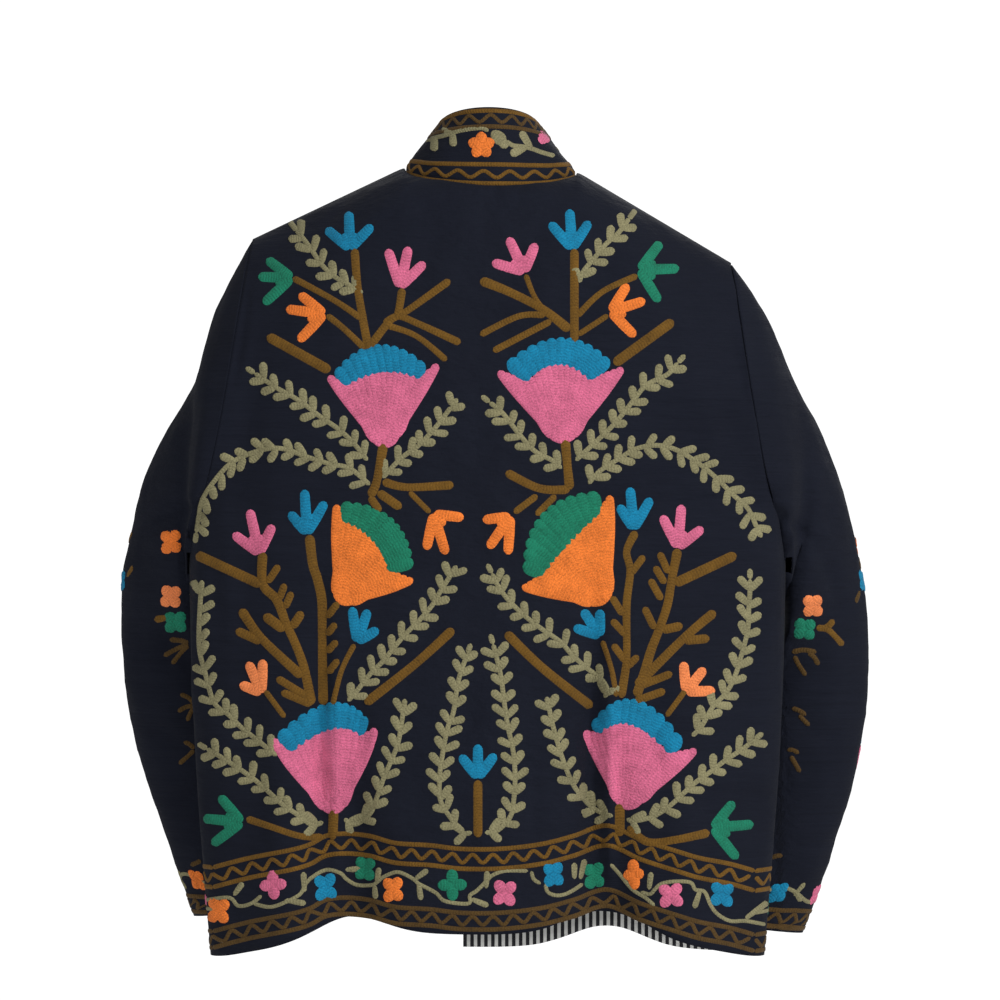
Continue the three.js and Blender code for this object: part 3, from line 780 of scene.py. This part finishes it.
BACK_STEMS = (
    (7.6, ((-114, -64), (-111, -100), (-102, -151))),
    (6, ((-167, -89), (-132, -108), (-108, -124))),
    (6, ((-138, -121), (-124, -132), (-105, -150))),
    (7.6, ((-101, -148), (-84, -126), (-77, -120), (-73, -98))),
    (7, ((-77, -120), (-70, -118), (-32, -91))),
    (7, ((-89, -129), (-77, -122), (-58, -129), (-23, -145))),
    (6, ((-89, -129), (-61, -139), (-35, -160))),
    (9, ((-135, -169), (-189, -139))),
    (7.6, ((75, -64), (75, -144))),
    (6, ((129, -87), (99, -101), (77, -122))),
    (5, ((104, -121), (78, -138))),
    (5, ((33, -86), (40, -104), (48, -116))),
    (9, ((-6, -91), (19, -101), (48, -116), (71, -134))),
    (6, ((-6, -138), (27, -122), (50, -121))),
    (6, ((5, -152), (55, -126))),
    (9, ((160, -126), (109, -163))),
    (9, ((-89, -231), (-95, -264), (-101, -277))),
    (8, ((-90, -264), (-69, -269), (-29, -267))),
    (8, ((-94, -273), (-74, -287))),
    (5, ((-67, -273), (-49, -291))),
    (9, ((67, -228), (69, -251), (71, -271))),
    (8, ((71, -271), (45, -270), (16, -256))),
    (6, ((43, -276), (23, -291))),
    (6, ((59, -276), (42, -293))),
    (7, ((-101, -277), (-92, -290))),
    (9, ((-250, -327), (-194, -353))),
    (9, ((-193, -325), (-193, -352), (-181, -366), (-173, -386), (-164, -406), (-157, -426), (-151, -456))),
    (6.6, ((-189, -351), (-179, -336))),
    (6.6, ((-179, -366), (-174, -352))),
    (6.6, ((-174, -373), (-168, -359))),
    (9, ((-174, -392), (-192, -379))),
    (8, ((-168, -390), (-159, -376))),
    (9, ((-159, -432), (-194, -399), (-212, -374))),
    (8, ((-194, -402), (-216, -392))),
    (7, ((-155, -449), (-181, -433))),
    (7, ((-151, -456), (-177, -445))),
    (5, ((-191, -444), (-174, -467))),
    (9, ((-153, -310), (-150, -335), (-146, -348), (-142, -368), (-142, -397), (-141, -456))),
    (6.6, ((-138, -381), (-128, -368))),
    (6.6, ((-138, -396), (-130, -386))),
    (6.6, ((-138, -411), (-129, -401))),
    (6.6, ((-137, -429), (-128, -417))),
    (5, ((-114, -404), (-125, -426), (-133, -456))),
    (8.6, ((-29, -391), (-62, -421), (-105, -455))),
    (8.6, ((-132, -546), (-133, -572))),
    (6.8, ((-141, -570), (-161, -569), (-186, -561), (-207, -554))),
    (8, ((-8, -521), (-8, -570))),
    (8.6, ((16, -394), (47, -424), (90, -458))),
    (5, ((99, -401), (107, -426), (111, -449))),
    (8, ((128, -307), (120, -324), (123, -341), (120, -368), (120, -392), (120, -413), (119, -426),
         (115, -450))),
    (6.6, ((135, -328), (123, -344))),
    (6.6, ((117, -379), (107, -363))),
    (6.6, ((120, -397), (107, -383))),
    (6.6, ((119, -419), (108, -404))),
    (6.6, ((120, -424), (130, -414))),
    (9, ((164, -322), (159, -347), (155, -370), (148, -391), (141, -409), (135, -429), (128, -449))),
    (9, ((214, -327), (161, -352))),
    (6.6, ((148, -325), (156, -343))),
    (6.6, ((153, -352), (144, -337))),
    (6.6, ((150, -366), (140, -348))),
    (6.6, ((144, -391), (135, -372))),
    (8, ((150, -392), (168, -388))),
    (8.6, ((128, -440), (169, -399), (196, -376))),
    (8, ((169, -401), (191, -399))),
    (7, ((131, -440), (159, -429))),
    (7, ((127, -453), (153, -444))),
    (5, ((171, -443), (154, -466))),
    (8.6, ((114, -541), (114, -569))),
    (8, ((121, -561), (138, -574), (163, -572), (191, -566))),
)
BACK_TULIPS = (
    ("blue", (-118, -64), ((-137, -48), (-119, -34), (-100, -45))),
    ("pink", (-75, -97), ((-85, -66), (-68, -64), (-55, -77))),
    ("green", (-168, -89), ((-188, -74), (-195, -88), (-191, -110))),
    ("orange", (-140, -120), ((-160, -104), (-171, -116), (-161, -142))),
    ("blue", (73, -64), ((55, -43), (71, -32), (87, -42))),
    ("pink", (32, -84), ((6, -76), (19, -56), (41, -61))),
    ("green", (131, -82), ((148, -60), (163, -81), (147, -108))),
    ("orange", (106, -118), ((120, -96), (134, -109), (126, -138))),
    ("pink", (-196, -326), ((-217, -310), (-204, -290), (-185, -303))),
    ("blue", (-155, -309), ((-169, -292), (-157, -273), (-140, -283))),
    ("orange", (-46, -292), ((-22, -295), (-36, -325), (-52, -321))),
    ("orange", (20, -294), ((-2, -297), (2, -320), (18, -325))),
    ("blue", (126, -305), ((114, -286), (123, -271), (140, -280))),
    ("pink", (164, -321), ((151, -295), (167, -286), (184, -305))),
    ("coral", (-194, -446), ((-205, -421), (-193, -419), (-211, -439))),
    ("blue", (-112, -402), ((-116, -374), (-103, -376), (-95, -392))),
    ("green", (-211, -557), ((-229, -536), (-242, -554), (-235, -575))),
    ("blue", (-8, -519), ((-22, -501), (-8, -492), (6, -500))),
    ("blue", (97, -397), ((83, -376), (97, -376), (76, -390))),
    ("coral", (171, -445), ((169, -421), (186, -426), (194, -444))),
    ("green", (194, -562), ((211, -541), (227, -559), (214, -587))),
)
BACK_BLOOMS = (
    ("pink", "blue", (-88, -230), (-136, -173), (-43, -163), ((-122, -181), (-89, -169), (-57, -175)),
     ((-132, -170), (-95, -146), (-54, -163))),
    ("pink", "blue", (65, -226), (10, -169), (116, -166), ((34, -177), (61, -162), (88, -176)),
     ((14, -163), (64, -140), (108, -162))),
    ("orange", "green", (-124, -365), (-129, -284), (-64, -348), ((-123, -297), (-99, -313), (-84, -340)),
     ((-125, -281), (-81, -296), (-63, -338)), 1.1),
    ("orange", "green", (98, -365), (30, -354), (105, -276), ((46, -344), (70, -316), (94, -292)),
     ((31, -341), (47, -291), (96, -272)), 1.1),
    ("pink", "blue", (-132, -545), (-184, -485), (-97, -476), ((-169, -496), (-135, -476), (-108, -482)),
     ((-182, -482), (-135, -454), (-103, -469)), 1.25),
    ("pink", "blue", (120, -541), (85, -478), (179, -494), ((97, -480), (123, -472), (158, -498)),
     ((90, -472), (127, -451), (169, -487)), 1.12),
)
lay_back, _ = seen_from(EYE, BACK_SHEET, (back_tree,))
hoop = Hoop(lay_back)
for vine in BACK_VINES:
    hoop.vine(vine)
hoop.finish("back_vines")
for width, points in BACK_STEMS:
    hoop.stem(width, points)
hoop.finish("back_stems")
for flower in BACK_BLOOMS:
    hoop.bloom(*flower)
for flower in BACK_TULIPS:
    hoop.tulip(*flower)
hoop.finish("back_flowers")

# ---- Border along the back's hem ----
# Two strips of brown lines with a zigzag between them, and a band with a wandering vine and four-lobed
# flowers between the strips. The lower strip's darker brown is partly its own tone and partly painted shade
# from the hem's folds.
HEM = ((-236, -669), (-205, -661), (-169, -654), (-152, -649), (-139, -642), (-122, -640), (-101, -642),
       (-79, -648), (-49, -650), (-23, -653), (11, -653), (46, -649), (74, -642), (103, -633), (132, -645),
       (166, -656), (183, -661), (209, -666), (230, -672))
# The lower strip (rises 4 to 18) is sewn in brown: the ochre yarn darkened, partly painted shade from the
# hem's folds.
STRIPS = ((4, "brown"), (18, "brown"), (56, "ochre"), (73, "ochre"))
ZIGZAGS = ((11, "brown"), (64.5, "ochre"))
LINE_WIDE = 4.6
VINE_WIDE = 3.8
ZIGZAG = (4.0, 8.8, 3.6)  # width, step and swing
for rise, colour in STRIPS:
    hoop.row([(x, z + rise) for x, z in HEM], LINE_WIDE, colour, loose=True)
for rise, colour in ZIGZAGS:
    hoop.wave([(x, z + rise) for x, z in HEM], colour, *ZIGZAG)
BORDER_VINES = (
    ((-242, -624), (-222, -622), (-214, -629), (-203, -627), (-194, -620)),
    ((-201, -627), (-187, -630), (-174, -626), (-161, -619), (-156, -610), (-150, -604), (-138, -598),
     (-126, -601), (-121, -606), (-112, -611), (-99, -611), (-94, -608), (-89, -604), (-77, -600),
     (-65, -605), (-59, -610), (-55, -612), (-44, -618), (-36, -625), (-16, -627), (-15, -620),
     (-9, -616), (1, -606), (4, -603), (15, -599), (35, -599)),
    ((38, -599), (40, -606), (46, -610)),
    ((50, -610), (52, -617), (59, -620), (67, -619), (75, -615), (82, -610)),
    ((106, -593), (114, -602), (125, -615), (136, -622), (144, -629)),
    ((132, -617), (140, -619), (144, -615), (150, -610), (162, -608), (175, -609), (179, -615),
     (187, -617), (192, -628), (198, -636), (209, -642), (222, -642), (239, -645)),
)
BORDER_LEAVES = (
    ((-218, -620), (-210, -609)), ((-157, -617), (-158, -600)), ((-174, -624), (-156, -627)),
    ((-122, -598), (-108, -597)), ((-95, -610), (-93, -596)), ((-97, -611), (-96, -623)),
    ((-62, -606), (-51, -598)), ((-59, -609), (-57, -624)), ((-14, -623), (1, -629)),
    ((-1, -614), (0, -599)), ((75, -606), (75, -592)), ((80, -606), (84, -589)),
    ((139, -615), (141, -600)), ((183, -616), (178, -631)), ((222, -640), (241, -626)),
)
for points in BORDER_VINES:
    hoop.row(points, VINE_WIDE, "olive", loose=True)
for root, tip in BORDER_LEAVES:
    hoop.leaf(root, tip, 6.2)
BACK_POSIES = (
    ("orange", -231, -633, 20, 26, 45), ("pink", -184, -611, 22, 24, 0), ("blue", -139, -613, 20, 28, 50),
    ("green", -105, -597, 18, 24, 45), ("orange", -81, -615, 18, 26, 45), ("green", -30, -611, 24, 26, 0),
    ("pink", 15, -618, 22, 26, 45), ("blue", 57, -602, 18, 25, 45), ("green", 92, -603, 17, 27, 45),
    ("orange", 126, -602, 17, 25, 0), ("pink", 158, -620, 24, 24, 45), ("blue", 202, -619, 22, 25, 45),
)
for colour, x, z, wide, tall, spin in BACK_POSIES:
    hoop.posy(colour, (x, z), wide, tall, spin)
hoop.finish("back_border")

# ---- Border and flowers on the sides and fronts ----
# The same two strips, vine and flowers go on round the hem to the opening, and one strip runs up
# each front edge. Each front has the flowers of its half of the back.
AWAY, LEVEL = 4, -0.28
FRONT_SHEET, SIDE_SHEET = 0.07, 0.255
HEM_BELOW = -0.6
STEP = 12
SEAM_X = 236
LAP = -27
RISE = 37
TOP, BOTTOM, LEFT_BOTTOM = -45, -680, -262
OPENING_REACH, OPENING_TOP = 0.07, -0.03
CLEAR, ABOVE_BORDER = 26, 84
UPPER_ABOVE = -310


def edge_line(rim, find, pick):
    """How high the edge of a piece lies at each place along it."""
    steps = {}
    for point in rim:
        place = find(point)
        steps.setdefault(round(place.x / STEP), []).append(place.y)
    keys = sorted(steps)

    def height(x):
        k = max(1, min(len(keys) - 1, bisect.bisect(keys, x / STEP)))
        low, high = (pick(steps[key]) for key in keys[k - 1:k + 1])
        share = (x / STEP - keys[k - 1]) / (keys[k] - keys[k - 1])
        return low + (high - low) * max(0.0, min(1.0, share))

    return height


for side, node, pick in ((1, "front_right", min), (-1, "front_left", max)):
    tree, rim = cloth[node]
    lay_front, find_front = seen_from(Vector((0, AWAY, LEVEL)), FRONT_SHEET, (tree,))
    lay_side, find_side = seen_from(
        Vector((AWAY * side, 0, LEVEL)), SIDE_SHEET * side, (back_tree, tree), axis=0)
    hem = edge_line([p for p in rim if p.z < HEM_BELOW], find_front, min)
    inner = [p for p in rim if abs(p.x) < OPENING_REACH and p.z < OPENING_TOP]
    opening = edge_line(inner, lambda p: find_front(p).yx, pick)

    def across(rise):
        """A line along the front, from the side to the opening."""
        first = SEAM_X * side
        last = opening(-600) + 6 if side > 0 else LAP
        steps = round(abs(first - last) / STEP)
        xs = [first + (last - first) * k / steps for k in range(steps + 1)]
        return [Vector((x, hem(x) + rise)) for x in xs]

    def beside(rise):
        """The same line round the side, from the back's border to the front's."""
        x, z = HEM[-1] if side > 0 else HEM[0]
        start = find_side(lay_back(Vector((x, z + rise)))[0])
        end = find_side(lay_front(across(rise)[0])[0])
        return [start.lerp(end, k / 5) for k in range(6)]

    for lay, line in ((lay_side, beside), (lay_front, across)):
        hoop.plan = lay
        for rise, colour in STRIPS:
            hoop.row(line(rise), LINE_WIDE, colour, loose=True)
        for rise, colour in ZIGZAGS:
            hoop.wave(line(rise), colour, *ZIGZAG)
    hoop.plan = lay_side
    hoop.row(beside(RISE), VINE_WIDE, "olive", loose=True)
    hoop.posy("green" if side > 0 else "pink", beside(RISE)[3] + Vector((0, 4)))
    hoop.plan = lay_front
    course = across(RISE)
    swung = [p + Vector((0, 9 * math.sin(k * 1.05))) for k, p in enumerate(course)]
    hoop.row(swung, VINE_WIDE, "olive", loose=True)
    for k in range(1, len(course) - 2, 3):
        flip = 1 if (k // 3) % 2 else -1
        hoop.leaf(swung[k], swung[k] + Vector((-side * 8, flip * 12)), 6.6)
        colour = ("orange", "green", "pink", "blue")[(k // 3) % 4]
        hoop.posy(colour, course[k] + Vector((-side * 18, -flip * 5)))

    def beside_opening(inset, above):
        """A line down the front edge, from the neck to the border."""
        line = [(opening(z) + side * inset, z) for z in range(TOP, BOTTOM, -STEP)]
        return [p for p in line if p[1] > hem(p[0]) + above and (side > 0 or p[1] > LEFT_BOTTOM)]

    for inset in (5, 19):
        hoop.row(beside_opening(inset, 80), LINE_WIDE, "ochre", loose=True)
    hoop.wave(beside_opening(12, ABOVE_BORDER), "ochre", *ZIGZAG)

    def clear(*points):
        """Whether all of these points of a motif lie on this front, clear of its borders."""
        points = [Vector(p) for p in points]
        inside = all(p.x * side > opening(p.y) * side + CLEAR for p in points)
        above = all(p.y > hem(p.x) + ABOVE_BORDER for p in points)
        return inside and above and hoop.fits(points)

    def drawn_in(points):
        """The upper flowers stand a little further from the opening than on the back."""
        if min(z for x, z in points) < UPPER_ABOVE:
            return points
        return [(side * (70 + (abs(x) - 40) * 0.8) if x * side > 0 else x, z) for x, z in points]

    for vine in BACK_VINES:
        vine = drawn_in(vine)
        if clear(*vine):
            hoop.vine(vine)
    for width, points in BACK_STEMS:
        points = drawn_in(points)
        if clear(*points):
            hoop.stem(width, points)
    for cup, crown, base, left, right, low_edge, high_edge, *swell in BACK_BLOOMS:
        base, left, right, *edges = drawn_in((base, left, right, *low_edge, *high_edge))
        if clear(base, left, right):
            hoop.bloom(cup, crown, base, left, right, edges[:3], edges[3:], *swell)
    for colour, base, tips in BACK_TULIPS:
        base, *tips = drawn_in((base, *tips))
        if clear(base, *tips):
            hoop.tulip(colour, base, tips)
    hoop.finish(node + "_flowers")

# ---- Embroidery on the sleeves ----
# The cuffs have a narrow band of the border. A bloom beside a vine stands above it, to the front of
# each sleeve, with sprays of small flowers and bare stems at the elbow. The rest is plain cloth.
RING_HIGH = 0.008
CORE_STEP, CORE_NEAR = 0.02, 0.014
CUFF_GAP, CUFF_END = 45, 126
BLOOM_X = 108
GIRTH = range(-138, 139, 6)


def wound(tree, middle):
    """Winds the pattern round a tube: x runs round it from the middle of its back, y runs up."""
    rings = {}

    def cast(z, turn):
        hit = tree.ray_cast(middle(z), Vector((math.sin(turn), -math.cos(turn), 0)))
        return hit[:2] if hit[0] else None

    def ring(level):
        if level not in rings:
            z = level * RING_HIGH
            reach = 0.05
            turns = [math.radians(degrees) for degrees in range(-180, 181, 4)]
            spots = []
            for turn in turns:
                hit = cast(z, turn)
                reach = (hit[0] - middle(z)).length if hit else reach
                spots.append(Vector((math.sin(turn), -math.cos(turn))) * reach)
            runs = [0.0]
            for a, b in zip(spots, spots[1:]):
                runs.append(runs[-1] + (b - a).length * 1000)
            start = runs[len(runs) // 2]
            rings[level] = ([run - start for run in runs], turns)
        return rings[level]

    def plan(spot):
        z = spot.y / 1000
        level = math.floor(z / RING_HIGH)
        low, high = (between(*ring(n), spot.x) for n in (level, level + 1))
        return cast(z, low + (high - low) * (z / RING_HIGH - level))

    def find(point):
        away = point - middle(point.z)
        runs, turns = ring(round(point.z / RING_HIGH))
        return Vector((between(turns, runs, math.atan2(away.x, -away.y)), point.z * 1000))

    return plan, find


def between(here, there, value):
    """Reads a table: where value lies among here, it gives the same place among there."""
    k = max(1, min(len(here) - 1, bisect.bisect(here, value)))
    share = (value - here[k - 1]) / max(1e-6, here[k] - here[k - 1])
    return there[k - 1] + (there[k] - there[k - 1]) * share


def core(node):
    """The middle line of a tube."""
    levels = []
    spots = []
    for k in range(-33, -12):
        z = k * CORE_STEP
        near = [v.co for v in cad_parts[node].data.vertices if abs(v.co.z - z) < CORE_NEAR]
        if near:
            levels.append(z)
            xs, ys = [v.x for v in near], [v.y for v in near]
            spots.append(Vector(((min(xs) + max(xs)) / 2, (min(ys) + max(ys)) / 2, 0)))

    def middle(z):
        spot = between(levels, spots, max(levels[0], min(levels[-1], z)))
        return Vector((spot.x, spot.y, z))

    return middle


ELBOW_POSIES = (("blue", 52, -352), ("pink", 96, -362), ("green", 128, -346), ("orange", 74, -322))
# Small flowers and bare stems on the back of each sleeve, next to the body.
RIGHT_POSIES = (("coral", 280, -371, 18, 22), ("green", 273, -391, 21, 20))
RIGHT_STEMS = (
    (6, "ochre", ((283, -390), (292, -391), (299, -397), (306, -405))),
    (6, "ochre", ((289, -391), (294, -388), (298, -383))),
    (5, "brown", ((262, -411), (272, -409), (283, -411))),
    (5, "brown", ((276, -411), (281, -415), (285, -422))),
    (4.5, "brown", ((264, -414), (268, -422), (274, -431))),
    (4.5, "brown", ((262, -459), (268, -461), (274, -465))),
    (4.5, "brown", ((268, -465), (272, -469), (277, -474))),
    (4.5, "brown", ((258, -495), (263, -495), (268, -498))),
    (4.5, "brown", ((261, -500), (265, -507), (269, -514))),
    (4.5, "brown", ((244, -588), (249, -586), (254, -586))),
)
LEFT_POSIES = (
    ("orange", -272, -316, 18, 24), ("coral", -272, -363, 19, 22), ("green", -268, -385, 22, 20))
LEFT_STEMS = (
    (5, "brown", ((-257, -403), (-264, -401), (-273, -400))),
    (4.5, "brown", ((-257, -404), (-267, -408), (-278, -414))),
    (4.5, "brown", ((-257, -405), (-264, -412), (-271, -421))),
    (4.5, "brown", ((-252, -455), (-257, -450), (-264, -447))),
    (4.5, "brown", ((-252, -457), (-259, -458), (-266, -462))),
    (4.5, "brown", ((-252, -458), (-255, -463), (-258, -470))),
    (4.5, "brown", ((-252, -494), (-256, -490), (-261, -488))),
    (4.5, "brown", ((-252, -495), (-257, -500), (-265, -507))),
    (4.5, "brown", ((-246, -590), (-250, -592), (-255, -594))),
)
# Side, node, where the first flower of the cuff shows, the cuff's colours, small flowers and stems.
SLEEVES = (
    (1, "sleeve_right", (253, -610), ("blue", "pink", "green", "orange"), RIGHT_POSIES, RIGHT_STEMS),
    (-1, "sleeve_left", (-252, -600), ("orange", "pink", "green", "blue"), LEFT_POSIES, LEFT_STEMS),
)
for side, node, spot, colours, posies, stems in SLEEVES:
    tree, rim = cloth[node]
    lay_sleeve, find_sleeve = wound(tree, core(node))
    cuff = edge_line([p for p in rim if p.z < HEM_BELOW], find_sleeve, min)
    hoop.plan = lay_sleeve
    for rise in (4, 18):
        hoop.row([(x, cuff(x) + rise) for x in GIRTH], LINE_WIDE, "brown", loose=True)
    hoop.wave([(x, cuff(x) + 11) for x in GIRTH], "brown", *ZIGZAG)
    hoop.row([(x, cuff(x) + 32 + 6 * math.sin(x / 11)) for x in GIRTH], VINE_WIDE, "olive", loose=True)
    lay, _ = seen_from(EYE, BACK_SHEET, (tree,))
    seen = find_sleeve(lay(Vector(spot))[0])
    for k in range(-3, 4):
        x = seen.x + CUFF_GAP * k
        if abs(x) > CUFF_END:
            continue
        hoop.posy(colours[k % 4], (x, cuff(x) + 33), 18, 20)
        hoop.leaf((x + 16, cuff(x) + 30), (x + 23, cuff(x) + 41), 6.2)
        hoop.leaf((x + 17, cuff(x) + 33), (x + 26, cuff(x) + 25), 6.2)
    x = BLOOM_X * side
    hoop.bloom("pink", "blue", (x, -552), (x - 34, -500), (x + 34, -500),
               ((x - 23, -507), (x, -493), (x + 23, -507)), ((x - 31, -497), (x, -474), (x + 31, -497)))
    hoop.stem(7, ((x, -556), (x + 1, -566), (x, -578)))
    hoop.stem(6, ((x, -474), (x - 2, -448), (x + 3, -420)))
    hoop.stem(5, ((x - 6, -476), (x - 14, -456), (x - 20, -436)))
    hoop.stem(5, ((x + 6, -476), (x + 16, -458), (x + 22, -440)))
    hoop.tulip("orange", (x + 3, -418), ((x - 13, -398), (x + 3, -388), (x + 18, -399)))
    hoop.tulip("green", (x - 20, -434), ((x - 38, -424), (x - 29, -408), (x - 14, -412)), 8)
    hoop.tulip("pink", (x + 23, -438), ((x + 16, -417), (x + 32, -412), (x + 41, -427)), 8)
    hoop.vine([(x + side * out, z) for out, z in (
        (10, -570), (30, -560), (44, -538), (50, -512), (48, -486), (42, -464))])
    for colour, u, z in ELBOW_POSIES:
        hoop.posy(colour, (u * side, z), 20, 22)
        hoop.leaf((u * side + 13, z + 4), (u * side + 23, z + 13), 6.6, "ochre")
        hoop.leaf((u * side - 11, z - 9), (u * side - 20, z - 19), 6.2, "brown")
    hoop.plan = lay
    for colour, x, z, wide, tall in posies:
        hoop.posy(colour, (x, z), wide, tall)
    if side < 0:
        hoop.leaf((-275, -381), (-286, -383), 7.5, "ochre")
    for wide, colour, points in stems:
        hoop.stem(wide, points, colour)
    hoop.finish(node + "_flowers")

# ---- Embroidery on the collar ----
# A strip of brown lines with a wavy line runs along the top and the foot of the collar, and a
# vine with large leaves and flowers runs between them, all round to the opening.
COLLAR_LINES = ((0.07, "ochre"), (0.3, "ochre"), (0.76, "brown"), (0.955, "ochre"))
COLLAR_WAVES = ((0.18, "ochre", 11.5, 2.9), (0.86, "brown", 10.0, 3.2))
collar_tree, collar_rim = cloth["collar"]
lay_collar, find_collar = wound(collar_tree, lambda z: Vector((0, 0.01, z)))
foot = edge_line(collar_rim, find_collar, min)
brim = edge_line(collar_rim, find_collar, max)


def level(share, start=-168, end=169):
    """A line round the collar, at a share of the height from its foot to its top."""
    return [Vector((x, foot(x) + (brim(x) - foot(x)) * share)) for x in range(start, end, 8)]


hoop.plan = lay_collar
for share, colour in COLLAR_LINES:
    hoop.row(level(share), 4.4, colour, loose=True)
for share, colour, step, swing in COLLAR_WAVES:
    hoop.wave(level(share), colour, VINE_WIDE, step, swing)
for start, end, flip in ((-164, -92, 1), (96, 165, -1)):
    line = [p + Vector((0, 6 * math.sin(k * 0.8))) for k, p in enumerate(level(0.53, start, end))]
    hoop.row(line, VINE_WIDE, "olive", loose=True)
    for k in range(1, len(line) - 1, 4):
        hoop.leaf(line[k], line[k] + Vector((8, 12 * flip)), 7)
        hoop.posy(("green", "pink", "blue")[k // 4 % 3], line[k] + Vector((14, -4 * flip)), 18, 20)
hoop.plan, _ = seen_from(EYE, BACK_SHEET, (collar_tree,))
hoop.row(
    ((-56, 27), (-47, 31), (-39, 33), (-32, 35), (-22, 38), (-5, 40), (1, 37)), 4.4, "olive", loose=True)
hoop.leaf((-45, 33), (-46, 20), 8.5)
hoop.leaf((-30, 36), (-29, 24), 8)
hoop.leaf((-30, 36), (-39, 39), 6)
hoop.leaf((4, 37), (15, 27), 14)
hoop.leaf((8, 34), (17, 23), 10)
hoop.row(((16, 29), (22, 25), (30, 24), (39, 22), (47, 19), (58, 16)), 4.4, "olive", loose=True)
hoop.leaf((38, 22), (29, 37), 8)
hoop.leaf((34, 24), (20, 17), 9)
heart = Vector((-5, 25))
for turn in range(90, 450, 72):
    way = Vector((math.cos(math.radians(turn)), math.sin(math.radians(turn)))) * 11.5
    hoop.row([heart, heart + way * 0.5, heart + way], [8.0, 11.4, 10.8], "orange")
hoop.leaf((45, 37), (53, 28), 9, "pink")
hoop.leaf((44, 32), (50, 27), 7, "pink")
hoop.finish("collar_flowers")

size = {"cad": [list(v) for v in cad_box], "visual": [list(v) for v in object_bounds()]}
